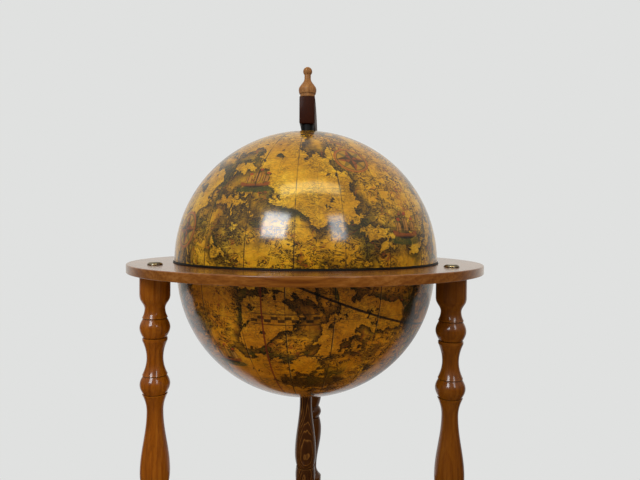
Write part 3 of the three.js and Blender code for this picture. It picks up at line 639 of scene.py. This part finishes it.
# Legs: one beech turning each, with a cove and collar under the ring, two beads between cut grooves, a
# long vase and a bead and vase below. They are stained brown and lacquered.
leg_top, leg_foot = 616.2, 146.6
end_length, end_ease = 30.5, 0.5
cut = 1.3

leg_outline = (
    Profile(0, leg_top).step(leg_radius - end_ease).to(leg_radius, leg_top - end_ease)
    .straight(end_length - 2 * end_ease, 6).to(leg_radius - 0.3, leg_top - end_length)
    .curve(16.1, 13.5, waisted, 16).curve(12.2, 16.8, hollow, 12)
    .to(16.8 - cut, leg_top - 59.5).bead(26.4, 4.7, 16.6 - cut, 28)
    .to(16.6, leg_top - 86.6).straight(3.2, 3)
    .curve(24, 11, rounded, 22).curve(22.4, 16.6, hollow, 18)
    .to(16.6 - cut, leg_top - 136.9).bead(25.3, 4.7, 16.6 - cut, 28)
    .to(16.6, leg_top - 162.9)
    .curve(23.4, 11, rounded, 20).curve(83.4, 19.9, waisted, 46).curve(25, 15.4, hollow, 18)
    .to(15.4 - cut, leg_top - 295.4).bead(23, 5.1, 16.4 - cut, 26)
    .to(16.4, leg_top - 319.1)
    .curve(24, 20.2, rounded, 18).curve(77.8, 11, waisted, 42).curve(18.2, 20.2, hollow, 18)
    .straight(end_length - end_ease, 6).to(leg_radius - end_ease, leg_foot).step(0).points)

for side in leg_places:
    leg = move(turn(leg_outline, 80), *leg_spot(side))
    piece(side + "_leg_piece", leg, leg_finishes[side], side + "_leg")


# Horizon ring: a flat beech ring, its edges eased, stained reddish brown under satin lacquer. The two front
# legs are bolted up to it by bolts with bevelled bronze caps, the rear one by a bolt sunk under the hinge.
ring_outer, ring_inner, ring_top, ring_bottom, ring_arris = 265.5, 197.65, 628.5, 616.5, 1.6
cap_radius, cap_top, cap_foot = 10.3, 632.4, 628.8
bolt_radius, bolt_end, sunk_top, sunk_head = 3, 576.8, 628.2, 5.5

ring_wood = wood("ring_wood", ring_tones, turned=(0, math.pi / 2, 0), pith=(240, 60), ring_pitch=8,
                 roughness=0.34, coat=1.0, streak=0.95, rings=0.12, coat_roughness=0.2)
piece("ring_piece", board(ring_outer, ring_top, ring_bottom, ring_arris, 0.7, 192, ring_inner), ring_wood,
      "horizon_ring")

bronze = metal("bronze", (176, 164, 138), (112, 98, 76), 0.24, 0.2)
for side in ("left", "right"):
    cap_bolt = turn([
        (0, cap_top), (6.4, cap_top), (7.1, cap_top - 0.15), (8.4, cap_top - 0.8), (9.5, cap_top - 1.7),
        (10.1, cap_foot + 1.2), (cap_radius, cap_foot + 0.7), (cap_radius, cap_foot + 0.2), (10.1, cap_foot),
        (bolt_radius, cap_foot), (bolt_radius, bolt_end), (0, bolt_end)], 56, cavity=0)
    piece(side + "_cap_piece", move(cap_bolt, *leg_spot(side)), bronze, side + "_leg_bolt")
sunk_bolt = turn([(0, sunk_top), (sunk_head, sunk_top), (bolt_radius, sunk_top - 3), (bolt_radius, bolt_end),
                  (0, bolt_end)], 40)
piece("rear_bolt_piece", move(sunk_bolt, *leg_spot("rear")), bronze, "rear_leg_bolt")


# Lower half of the globe: a moulded shell papered with an old-style map under thick yellowed varnish and
# lined inside. Its land, coasts and ornaments are invented.
bowl_radius, bowl_centre, bowl_wall, bowl_bore = 196.4, 619.1, 5, 4.3
gore_count = 20


def map_print(name, centre_height, tones, seam_longitude, drift, parts):
    """The printed and varnished map round a centre, on paper of three tones, which also carry painted light.
    Drift moves its lands; parts says which ornaments it carries."""
    finish = Finish(name, Coat_Roughness=0.135, Coat_IOR=1.65, Specular_IOR_Level=0.06)
    around = finish.vector("NORMALIZE", finish.place((0, 0, centre_height)))
    east, back, up = finish.split(around)
    longitude = east.math("ARCTAN2", back * -1) * math.degrees(1)
    latitude = up.math("ARCSINE") * math.degrees(1)
    level = (1 - up * up).root()

    def cloud(shift, scale, detail=4, roughness=0.6, distortion=0.0, flat=1.0):
        spot = finish.vector("ADD", around, Vector(shift) + Vector(drift))
        spot = finish.vector("MULTIPLY", spot, (1, 1, flat))
        return finish.noise(spot, scale, detail, roughness, distortion)

    def line(distance, half, soft):
        return abs(distance).fall(half, half + soft)

    def ink(share, *tint):
        """Prints over the map: a tint in screen values, or one ready colour"""
        nonlocal colour
        colour = finish.blend(share, colour, paint(*tint) if len(tint) == 3 else tint[0])

    age = cloud((0.3, 5.5, 1.9), 3.2, 6, 0.62)
    mottle = cloud((0, 0, 0), 26, 5, 0.65)
    stipple = cloud((3.3, 0.6, 5.1), 88, 3, 0.75, flat=1.6)
    tone = age * 0.55 + mottle * 0.3 + stipple * 0.15
    stops = list(zip((0.34, 0.5, 0.66), [paint(*tone) for tone in tones]))
    colour = finish.node("ValToRGB", {"Fac": tone}, stops=stops)

    outline = (4.3, 1.7, 2.9)
    plan = cloud(outline, 2.3, 2, 0.5, 0.35) - 0.49
    land = (cloud(outline, 2.3, 9, 0.62, 0.35) - 0.49).most((cloud((1.3, 7.1, 0.4), 11) - 0.64) * 0.5)
    inland = land.rise(0, 0.003)
    depth = plan * 0.45 + land * 0.55
    shore = depth.fall(0, 0.084) * inland
    green = cloud((9.2, 0.1, 3.3), 4.4, 4, 0.55)
    busy = cloud((7.7, 2.1, 6.2), 5.2)
    scribble = cloud((5.2, 2.8, 1.1), 15, 4, 0.6, 0.8, 1.7)
    quill = line(scribble - 0.5, 0.012, 0.03)
    waves = line(cloud((2.4, 8.2, 3.7), 30, 2, 0.5, 0.5, 2.8) - 0.5, 0.02, 0.045)
    border = line(cloud((6.1, 0.7, 4.4), 3.6, 4, 0.55, 0.5) - 0.5, 0.002, 0.006)
    shade = finish.blend(green.rise(0.52, 0.62), paint(26, 20, 6), paint(34, 38, 8))
    ink(green.rise(0.54, 0.62) * depth.fall(0.03, 0.12) * inland * 0.6, 74, 84, 16)
    ink(shore ** 0.6 * (0.8 + 0.2 * stipple.rise(0.42, 0.58)), shade)
    ink(scribble.rise(0.545, 0.61) * busy.rise(0.4, 0.5) * (0.3 + 0.7 * inland)
        * (0.5 + 0.5 * stipple.rise(0.4, 0.58)), 38, 29, 8)
    ink(quill * (0.2 + 0.8 * busy.rise(0.36, 0.5)) * (0.5 + 0.45 * inland), 38, 26, 8)
    ink(waves * (1 - inland) * (0.25 + 0.45 * busy.rise(0.46, 0.58)), 66, 48, 12)
    ink(stipple.rise(0.57, 0.64) * (0.16 + 0.6 * inland * busy.rise(0.4, 0.54)), 44, 31, 8)
    ink(line(land, 0.0006, 0.0026) * 0.9, 26, 20, 6)
    ink(border * land.rise(0.01, 0.03) * 0.5, 158, 66, 18)

    cells = {"Vector": around, "Scale": 13, "Randomness": 0.9}
    cell_colour = finish.node("TexVoronoi", cells, "Color")
    chance, kind_chance = (finish.field("SeparateColor", {0: cell_colour}, i) for i in (0, 1))
    reach = finish.field("TexVoronoi", cells, "Distance") + (mottle - 0.5) * 0.02
    islet_radius = 0.012 + 0.014 * kind_chance
    islet = (reach - islet_radius).fall(0, 0.003) * chance.fall(0.3, 0.31) * (1 - inland)
    islet_middle = islet * (reach - islet_radius * 0.5).fall(0, 0.004) * kind_chance.rise(0.3, 0.32)
    town = reach.fall(0.004, 0.007) * chance.rise(0.7, 0.71) * land.rise(0.02, 0.03)
    ink(islet * 0.95, 34, 30, 10)
    ink(islet_middle * 0.8, 104, 116, 40)
    ink(town * 0.9, 170, 66, 22)

    for kind, place_longitude, place_latitude, size in parts:
        lon, lat = math.radians(place_longitude), math.radians(place_latitude)
        if kind == "meridian":
            ink(line((longitude - place_longitude) * level, 0.22, 0.25) * 0.85, 104, 34, 12)
            continue
        if kind == "ecliptic":
            slope = up - (east * math.cos(lon) + back * math.sin(lon)) * math.tan(lat)
            ink(line(slope, size, 0.005) * 0.92, 26, 20, 12)
            continue
        centre = Vector((math.sin(lon) * math.cos(lat), -math.cos(lon) * math.cos(lat), math.sin(lat)))
        side = Vector((math.cos(lon), math.sin(lon), 0))
        wide, high = size if kind == "coast" else (size, size)
        x = finish.measure("DOT_PRODUCT", around, side / wide)
        y = finish.measure("DOT_PRODUCT", around, centre.cross(side) / high)
        facing = finish.measure("DOT_PRODUCT", around, centre).rise(0, 0.2)
        out = (x * x + y * y).root()
        bearing = x.math("ARCTAN2", y)
        if kind == "coast":
            ragged = out + (mottle - 0.5) * 1.5 + (plan + 0.02) * 2.5
            wooded = ragged.fall(0.66, 0.98) * (0.84 + 0.16 * stipple.rise(0.42, 0.58))
            ink(wooded * facing * 0.94, shade)
        if kind == "rose":
            inside = out.fall(0.97, 1) * facing
            star = (1 - out) * 1.15 - abs((bearing * 4).sine()) * 0.62
            cross = (1 - out / 0.9) * 0.9 - abs((bearing * 2).sine()) * 0.5
            half = (bearing * 4).sine().rise(-0.05, 0.05)
            halves = finish.blend(half, paint(140, 66, 20), paint(64, 42, 16))
            ink(inside * 0.85, 176, 124, 22)
            ink(star.rise(0, 0.05) * inside * 0.75, 98, 84, 26)
            ink(cross.rise(0, 0.04) * inside * 0.85, halves)
            ink(line(out - 1, 0.05, 0.03) * facing * 0.85, 160, 82, 16)
            for share in (0.88, 0.4):
                ink(line(out - share, 0.015, 0.03) * facing * 0.85, 70, 48, 18)
        if kind == "rhumbs":
            rays = abs((bearing * 8).sine()) * out * size
            shown = rays.fall(0.003, 0.008) * out.fall(0.9, 1) * out.rise(0.04, 0.07)
            ink(shown * facing * 0.4, 92, 58, 18)
        if kind == "scale":
            length = abs(x).fall(0.98, 1) * facing
            check = ((x * 15.7).sine() * y).rise(-0.004, 0.004)
            ink(length * abs(y).fall(0.085, 0.1) * check * 0.85, 30, 22, 8)
            ink(length * line(abs(y) - 0.16, 0.008, 0.02) * 0.7, 44, 32, 12)
        if kind == "ship":
            sheer = x * x
            swell = y * 4.6 + 1.9
            water = (sheer * 0.8 + swell * swell).fall(0.6, 1) * facing
            ink(water * (0.5 + 0.45 * stipple.rise(0.4, 0.55)), 56, 62, 18)
            hull = ((y - sheer * 0.3 + 0.38).rise(0, 0.05) * (y - sheer * 0.26 + 0.14).fall(0, 0.05)
                    * abs(x).fall(0.76, 0.82) * facing)
            ink(hull * 0.9, finish.blend(y.rise(-0.3, -0.16), paint(36, 24, 8), paint(136, 66, 14)))
            for mast, height in ((-0.45, 0.5), (0.02, 0.78), (0.46, 0.56)):
                billow = y - height * 0.3
                canvas = abs(x - mast - 0.05 - billow * billow * -0.4)
                sail_top = height * 0.66
                hoisted = y.rise(0, 0.04) * y.fall(sail_top, sail_top + 0.04) * facing
                ink(canvas.fall(0.14, 0.17) * hoisted * 0.8, 176, 116, 40)
                ink(line(canvas - 0.15, 0.01, 0.02) * hoisted * 0.8, 54, 36, 14)
                stepped = (y + 0.14).rise(0, 0.02) * y.fall(height, height + 0.02) * facing
                ink(line(x - mast, 0.012, 0.02) * stepped * 0.85, 46, 32, 14)
                flag = abs(x - mast - 0.1).fall(0.08, 0.1) * abs(y - height).fall(0.05, 0.08) * facing
                ink(flag * 0.9, 158, 60, 14)

    pitch = 360 / gore_count
    gore = longitude - seam_longitude
    wear = cloud((2.9, 3.3, 0.2), 6, 3)
    pale_edge = line((gore - 0.32).near(pitch) * level, 0.05, 0.12)
    ink(line(latitude.near(15), 0.1, 0.14) * 0.45, 66, 48, 18)
    ink(line(gore.near(pitch / 2) * level, 0.06, 0.14) * 0.25, 66, 48, 18)
    ink(line(gore.near(pitch) * level, 0.1, 0.2) * (0.35 + 0.6 * wear.rise(0.44, 0.56)), 36, 28, 14)
    ink(pale_edge * wear.rise(0.5, 0.62) * 0.3, 184, 138, 70)

    grime = cloud((8.8, 4.5, 0.9), 8, 5, 0.7)
    ink(grime.rise(0.55, 0.72) * 0.35, 84, 52, 10)
    peel = cloud((1, 2, 3), 70, 3, 0.65)
    ripple = cloud((3, 1, 2), 10, 2, 0.5)
    dent = cloud((6, 2, 4), 24, 2, 0.5)
    finish.set(
        Base_Color=colour,
        Roughness=0.45 + 0.12 * mottle,
        Coat_Weight=0.9 + 0.15 * (age - 0.5),
        Normal=finish.bump(peel * 0.85 + ripple * 0.9 + dent * 0.4, 0.0013, 0.5))
    return finish


# The bowl and the dome are papered alike. Their tone sets differ as painted light: the bowl's are deeper and
# more orange for the shade it lies in.
bowl_paper_and_light = ((150, 78, 3), (196, 118, 6), (224, 154, 22))
bowl_map = map_print("bowl_map", bowl_centre, bowl_paper_and_light, -4.8, (0, 0, 0), [
    ("rhumbs", 62, -30, 0.8), ("rose", 62, -30, 0.14), ("rhumbs", -120, -25, 0.7), ("rose", -120, -25, 0.14),
    ("scale", -5, -15, 0.22), ("ship", -36, -34, 0.14), ("ship", 150, -20, 0.16), ("meridian", -13.6, 0, 0),
    ("coast", -58, -9, (0.1, 0.3)), ("coast", 10, -46, (0.27, 0.085)), ("coast", 50, -14, (0.12, 0.32)),
    ("coast", 34, -39, (0.13, 0.1)), ("ecliptic", 173.2, 22.8, 0.006)])

lining = Finish("shell_lining", Specular_IOR_Level=0.3)
lining_spot = lining.place()
lining_fibre = lining.noise(lining_spot, 420, 3, 0.6)
lining_tone = lining.noise(lining_spot, 16, 5, 0.6).rise(0.3, 0.7) * 0.7 + lining_fibre * 0.3
lining.set(
    Base_Color=lining.blend(lining_tone, paint(64, 36, 20), paint(92, 56, 32)),
    Roughness=0.62 + 0.2 * (lining_fibre - 0.5), Normal=lining.bump(lining_fibre, 0.0002, 0.5))


def shell(outline, centre_height, radius):
    """A moulded shell turned from its outline; what lies inside its papered skin gets the second material"""
    shape = turn(outline, 144, closed=True, cavity=0)
    for face in shape.faces:
        if (face.calc_center_median() - Vector((0, 0, centre_height))).length < radius - 0.6:
            face.material_index = 1
    return shape


def bowl_side(radius):
    foot = bowl_centre - math.sqrt(radius ** 2 - bowl_bore ** 2)
    return [(radius, ring_top), *round_points(0, bowl_centre, radius, 0, -90, 60)[:-1], (bowl_bore, foot)]


bowl_outline = bowl_side(bowl_radius) + bowl_side(bowl_radius - bowl_wall)[::-1]
piece("bowl_piece", shell(bowl_outline, bowl_centre, bowl_radius), [bowl_map, lining],
      "lower_hemisphere")


# Black rim: a moulded plastic hoop that hangs on the ring's inner edge, lines the shell and carries the
# deck on a ledge. Its flat flange is the dark line between the two halves.
rim_outer, rim_top, rim_seat = 201.8, 630.8, 628.8
lip_outer, lip_inner, ledge_inner, ledge_top, ledge_bottom = 190.9, 187.3, 180.3, 618.6, 615.6

rim_black = Finish("rim_black", Specular_IOR_Level=0.2)
rim_wear = rim_black.noise(rim_black.place(), 150, 5, 0.6)
rim_black.set(
    Base_Color=rim_black.blend(rim_wear.rise(0.4, 0.75), paint(5, 5, 4), paint(17, 15, 13)),
    Roughness=0.5 + 0.25 * (rim_wear - 0.4), Normal=rim_black.bump(rim_wear, 0.0001, 0.4))

rim_shape = turn([
    (lip_inner + 0.7, rim_top), (rim_outer - 1.2, rim_top), (rim_outer - 0.35, rim_top - 0.35),
    (rim_outer, rim_top - 1.2), (rim_outer, rim_seat), (lip_outer, rim_seat), (lip_outer, ledge_bottom),
    (ledge_inner + 0.5, ledge_bottom), (ledge_inner, ledge_bottom + 0.5), (ledge_inner, ledge_top - 0.5),
    (ledge_inner + 0.5, ledge_top), (lip_inner, ledge_top), (lip_inner, rim_top - 0.7)],
    160, closed=True, cavity=0)
piece("rim_piece", rim_shape, rim_black, "bowl_rim")


# Drinks insert: a round deck on the rim's ledge with holes for bottles and glasses, a shelf below it for the
# glasses and a floor for the bottles, tied together by three posts.
deck_radius, deck_top, deck_thickness = 186.1, 627.9, 9
glasses_radius, glasses_top, bottles_radius, bottles_top, tray_thickness = 178.6, 561.5, 129, 486.5, 8
bottle_ring, bottle_hole = deck_radius * 0.365, 46
glass_ring, glass_hole = deck_radius * 0.768, 30
post_ring, post_radius, post_foot = deck_radius * 0.6, 6, 486.8

deck_wood = wood("deck_wood", ((74, 40, 18), (112, 68, 34), (140, 92, 52)),
                 turned=(0, math.pi / 2, 0.03), pith=(200, -40), ring_pitch=8.5, roughness=0.36, coat=0.35)
pale_wood = wood("pale_wood", ((98, 58, 28), (148, 98, 54), (176, 126, 78)), pith=(30, 12),
                 ring_pitch=4, roughness=0.42, coat=0.15, streak=0.8, groove_stain_and_shade=0.15, coat_roughness=0.25)


def holes(count, circle, first, radius, steps):
    """The places of round holes on a circle, with their radius and steps"""
    angles = [first + 2 * math.pi * i / count for i in range(count)]
    return [(circle * math.cos(angle), circle * math.sin(angle), radius, steps) for angle in angles]


def disc(radius, top, thickness, openings):
    """A flat round board with round holes, its edges eased all round"""
    shape = bmesh.new()
    for x, y, size, steps in [(0, 0, radius, 144)] + openings:
        ring = bmesh.ops.create_circle(shape, cap_ends=False, segments=steps, radius=size)["verts"]
        bmesh.ops.translate(shape, vec=(x, y, top - thickness), verts=ring)
    bmesh.ops.triangle_fill(shape, use_beauty=True, edges=shape.edges, normal=(0, 0, 1))
    thicken(shape, list(shape.faces), (0, 0, thickness))
    bmesh.ops.recalc_face_normals(shape, faces=shape.faces)
    round_off(shape, rims(shape, 2), 0.8)
    return shape


bottle_holes = holes(3, bottle_ring, math.pi / 2, bottle_hole, 72)
glass_holes = holes(6, glass_ring, 0, glass_hole, 56)
post_holes = holes(3, post_ring, math.pi / 2 + math.pi / 3, post_radius + 0.3, 28)
deck = disc(deck_radius + 0.6, deck_top, deck_thickness, bottle_holes + glass_holes + post_holes)
glass_shelf = disc(glasses_radius, glasses_top, tray_thickness, bottle_holes + post_holes)
bottle_floor = disc(bottles_radius, bottles_top, tray_thickness, [])
piece("deck_piece", deck, deck_wood, "bar_deck", sharp=20)
piece("glass_shelf_piece", glass_shelf, deck_wood, "glass_shelf", sharp=20)
piece("floor_piece", bottle_floor, deck_wood, "bottle_floor", sharp=20)
for i, (x, y, _, _) in enumerate(post_holes):
    post = rod(post_radius, deck_top, post_foot, 32, 0.6)
    piece(f"post_piece_{i + 1}", move(post, x, y), pale_wood, f"insert_post_{i + 1}")


# Middle column: a slim beech turning between the shelf and the south pole, painted nearly black brown as the
# shade under the globe, with the bolt that draws the shell down on it and the screw that holds it to the
# shelf.
column_top, column_bottom = 422.4, 146.6
bowl_washer_size = (15, 431.7, 429.7)
bolt_seat, bolt_head, bolt_rise, bolt_shank, bolt_foot = 432, 9, 4.5, 4, 381
screw_foot, screw_shank, screw_top = 126.6, 3, 178.6

# The column's dark tones are painted shade from the globe above it. Its pale grain arches are the wood's own.
shaded_column_wood = wood("shaded_column_wood", ((52, 24, 6), (78, 41, 13), (172, 112, 44)), pith=(-2, 70),
                   ring_pitch=1.7, roughness=0.3, coat=0.7, streak=0.4, rings=0.32, groove_stain_and_shade=0.8,
                   coat_roughness=0.1, early=0.02)

column = column_top - column_bottom
column_outline = (
    Profile(0, column_top).step(8.8).to(9.3, column_top - 0.5).straight(column * 0.05 - 0.5, 4)
    .curve(column * 0.305, 16.7, waisted, 44).curve(column * 0.075, 13.4, hollow, 14)
    .step(14.3).bead(column * 0.095, 1.3, 14.3, 18).step(13.4)
    .curve(column * 0.07, 16.7, rounded, 14).curve(column * 0.33, 10.6, waisted, 44)
    .step(21.7).bead(column * 0.045, 1.3, 23, 12).to(23, column_bottom + 0.5)
    .to(22.5, column_bottom).step(0).points)
piece("column_piece", turn(column_outline), shaded_column_wood, "central_column")
piece("bowl_washer_piece", rod(*bowl_washer_size, 48, 0.4, bore=bowl_bore), steel, "bowl_washer")
bolt_shape = turn([
    (0, bolt_seat + bolt_rise), *round_points(0, bolt_seat, bolt_head, 90, 0, 9, bolt_rise)[1:],
    (bolt_shank, bolt_seat), (bolt_shank, bolt_foot), (0, bolt_foot)], 40)
piece("bowl_bolt_piece", bolt_shape, steel, "bowl_bolt")
screw_shape = turn([
    (0, screw_foot), (3.5, screw_foot), (5.6, 127), (6.6, 127.6), (7, 128.3), (7, shelf_bottom - 0.3),
    (screw_shank, shelf_bottom - 0.3), (screw_shank, screw_top), (0, screw_top)], 32)
piece("column_screw_piece", screw_shape, steel, "column_screw")


# Hinge: two brass leaves rolled round one pin, with countersunk screws. The lower leaf is screwed to the
# ring's top and the upper one to the foot of the arc.
leaf_half, leaf_front, leaf_thickness, knuckle = 12, 215.6, 1.8, 7.7
barrel_y, barrel_z, barrel_radius, pin_radius = 250.9, 632.4, 3.6, 1.9
ring_leaf_bottom, arc_leaf_bottom = 628.8, 634.2
screw_rows, ring_screw_top, arc_screw_top = (222.1, 239.1), 630.55, 634.25


def block(size, centre):
    """A box of a size round a centre"""
    shape = bmesh.new()
    bmesh.ops.create_cube(shape, size=1)
    bmesh.ops.scale(shape, vec=size, verts=shape.verts)
    return move(shape, *centre)


def cross_barrel(radius, width, x, steps=32):
    return move(move(rod(radius, width / 2, -width / 2, steps, 0.3), angle=math.pi / 2, axis="Y"),
                x, barrel_y, barrel_z)


def add_to(shape, other):
    """Puts a copy of another shape's mesh into this one"""
    mesh = bpy.data.meshes.new("joined")
    other.to_mesh(mesh)
    other.free()
    shape.from_mesh(mesh)
    bpy.data.meshes.remove(mesh)


def leaf(bottom, knuckle_spots):
    """A plate with its own knuckles, each on a wing from the plate to the barrel"""
    reach = barrel_radius + 0.3
    plate_end, middle = barrel_y - reach, bottom + leaf_thickness / 2
    shape = block((2 * leaf_half, plate_end - leaf_front, leaf_thickness),
                  (0, (plate_end + leaf_front) / 2, middle))
    round_off(shape, shape.edges, 0.35)
    for x in knuckle_spots:
        add_to(shape, block((knuckle, reach + 0.6, leaf_thickness), (x, plate_end + reach / 2 - 0.3, middle)))
        add_to(shape, cross_barrel(barrel_radius, knuckle, x))
    return shape


def leaf_screw(top, way):
    """A slotted countersunk screw; way is 1 where it goes down from its head and -1 where it goes up"""
    shape = turn([(0, 0), (3.3, 0), (3.5, -0.15), (1.7, -1.8), (1.7, -9.5), (0.4, -10), (0, -10)], 28)
    add_to(shape, block((5.4, 0.8, 0.1), (0, 0, 0.03)))
    if way < 0:
        move(shape, angle=math.pi, axis="X")
    return move(shape, z=top)


piece("ring_leaf_piece", leaf(ring_leaf_bottom, (-8, 8)), brass, "hinge_lower_leaf", sharp=20)
piece("arc_leaf_piece", leaf(arc_leaf_bottom, (0,)), brass, "hinge_upper_leaf", "lid", sharp=20)
piece("hinge_pin_piece", cross_barrel(pin_radius, 2 * leaf_half, 0, 20), steel, "hinge_pin")
for i, y in enumerate(screw_rows):
    for part, top, way, body in (("ring", ring_screw_top, 1, "root"), ("arc", arc_screw_top, -1, "lid")):
        screw = move(leaf_screw(top, way), y=y)
        piece(f"{part}_screw_piece_{i + 1}", screw, brass, f"{part}_hinge_screw_{i + 1}", body)


# Upper half of the globe: the lid's shell, papered and varnished like the bowl. It spins on the pole rod and
# has a stiffening band inside its edge.
dome_radius, dome_wall, dome_bore, dome_centre, dome_bottom = 200, 5, 3.3, 628.7, 631.4
band_outer, band_inner, band_top, band_foot, band_ease = 191, 187, 649.4, 631.4, 0.3

# The dome's tones are the same paper painted lighter and yellower, as painted light on the top half.
dome_paper_and_light = ((166, 105, 7), (210, 149, 15), (240, 188, 42))
dome_map = map_print("dome_map", dome_centre, dome_paper_and_light, -1.5, (0.35, 0.2, -0.15), [
    ("rhumbs", -54, 14, 0.7), ("rose", -54, 14, 0.12), ("rose", 27, 45, 0.115), ("ship", 44, 14, 0.15),
    ("ship", -20, 33, 0.13), ("rhumbs", -110, 30, 0.7), ("rose", -110, 30, 0.15), ("ship", 120, 20, 0.16),
    ("rose", 160, 40, 0.13), ("ship", -160, 16, 0.16)])
dark_wood = wood("dark_wood", ((26, 8, 2), (50, 18, 4), (72, 32, 10)), pith=(20, 300),
                 ring_pitch=7, roughness=0.5, coat=0.04, groove_stain_and_shade=0.6)


def round_dome(radius, foot, last, steps):
    """Points on a circle round the dome's centre, up from a foot height"""
    first = math.degrees(math.asin((foot - dome_centre) / radius))
    return round_points(0, dome_centre, radius, first, last, steps)


def dome_side(radius):
    return round_dome(radius, dome_bottom, math.degrees(math.acos(dome_bore / radius)), 60)


dome_outline = dome_side(dome_radius) + dome_side(dome_radius - dome_wall)[::-1]
piece("dome_piece", shell(dome_outline, dome_centre, dome_radius), [dome_map, lining],
      "upper_hemisphere", "dome")
band = turn([
    (band_inner + band_ease, band_top), (band_outer - band_ease, band_top),
    (band_outer, band_top - band_ease), (band_outer, band_foot + band_ease),
    (band_outer - band_ease, band_foot), (band_inner + band_ease, band_foot),
    (band_inner, band_foot + band_ease), (band_inner, band_top - band_ease)], 144, closed=True, cavity=0)
piece("dome_band_piece", band, dark_wood, "dome_band", "dome")


# Meridian arc: a quarter hoop sawn from a beech board, stained dark brown, its long edges chamfered. It
# stands on the hinge, carries the dome at its pole and is the handle that tips the lid back.
arc_inner, arc_outer, arc_half, arc_chamfer, arc_nose, arc_foot = 212.5, 254.5, 12, 1.8, 12.5, 636.3

arc_outline = [*round_dome(arc_outer, arc_foot, 90, 72), (-arc_nose, dome_centre + arc_outer),
               (-arc_nose, dome_centre + arc_inner), *round_dome(arc_inner, arc_foot, 90, 72)[::-1]]
arc = bmesh.new()
arc_face = arc.faces.new([arc.verts.new((-arc_half, y, z)) for y, z in arc_outline])
thicken(arc, [arc_face], (2 * arc_half, 0, 0))
bmesh.ops.recalc_face_normals(arc, faces=arc.faces)
round_off(arc, [edge for edge in arc.edges if edge.calc_face_angle(0) > 1], arc_chamfer, profile=0.6)
bmesh.ops.triangulate(arc, faces=[face for face in arc.faces if len(face.verts) > 4])
piece("arc_piece", arc, dark_wood, "meridian_arc", "lid", sharp=20)


# Pole fittings: a steel rod through arc and shell, a black spacer between them, a washer and nut inside the
# shell and a small turned finial of bare beech screwed down on top.
spacer_size, pole_rod_size, pole_washer_size = (9.4, 840.9, 829.5), (3, 903.2, 812.9), (14, 821.8, 820.2)
nut_radius, nut_height, nut_middle = 5.8, 5, 817.4
finial_foot, finial_height, ball_radius, neck_radius = 883.5, 47.3, 7.05, 5

spacer = rod(*spacer_size, 40, 0.5, 0.4, dome_bore)
piece("spacer_piece", spacer, rim_black, "pole_spacer", "lid")
piece("pole_rod_piece", rod(*pole_rod_size, 20, 0.4), steel, "pole_rod", "lid")
pole_washer = rod(*pole_washer_size, 40, 0.3, bore=dome_bore)
piece("pole_washer_piece", pole_washer, steel, "pole_washer", "lid")
nut = bmesh.new()
bmesh.ops.create_cone(nut, cap_ends=True, segments=6, depth=nut_height,
                      radius1=nut_radius, radius2=nut_radius)
round_off(nut, rims(nut, 2), 0.4)
piece("pole_nut_piece", move(nut, z=nut_middle), steel, "pole_nut", "lid")

ball_middle = finial_foot + finial_height - ball_radius
neck_angle = math.degrees(math.asin(neck_radius / ball_radius)) - 90
finial = Profile(0, finial_foot + finial_height)
finial.points += round_points(0, ball_middle, ball_radius, 90, neck_angle, 24)[1:]
finial.straight(finial_height * 0.13, 4).curve(finial_height * 0.37, 13.8, waisted, 26)
finial.curve(finial_height * 0.13, 12.65, hollow, 8).step(11.5).to(11.5, finial_foot + 0.4)
finial.to(11.1, finial_foot).step(0)
piece("finial_piece", turn(finial.points, 56), pale_wood, "finial", "lid")
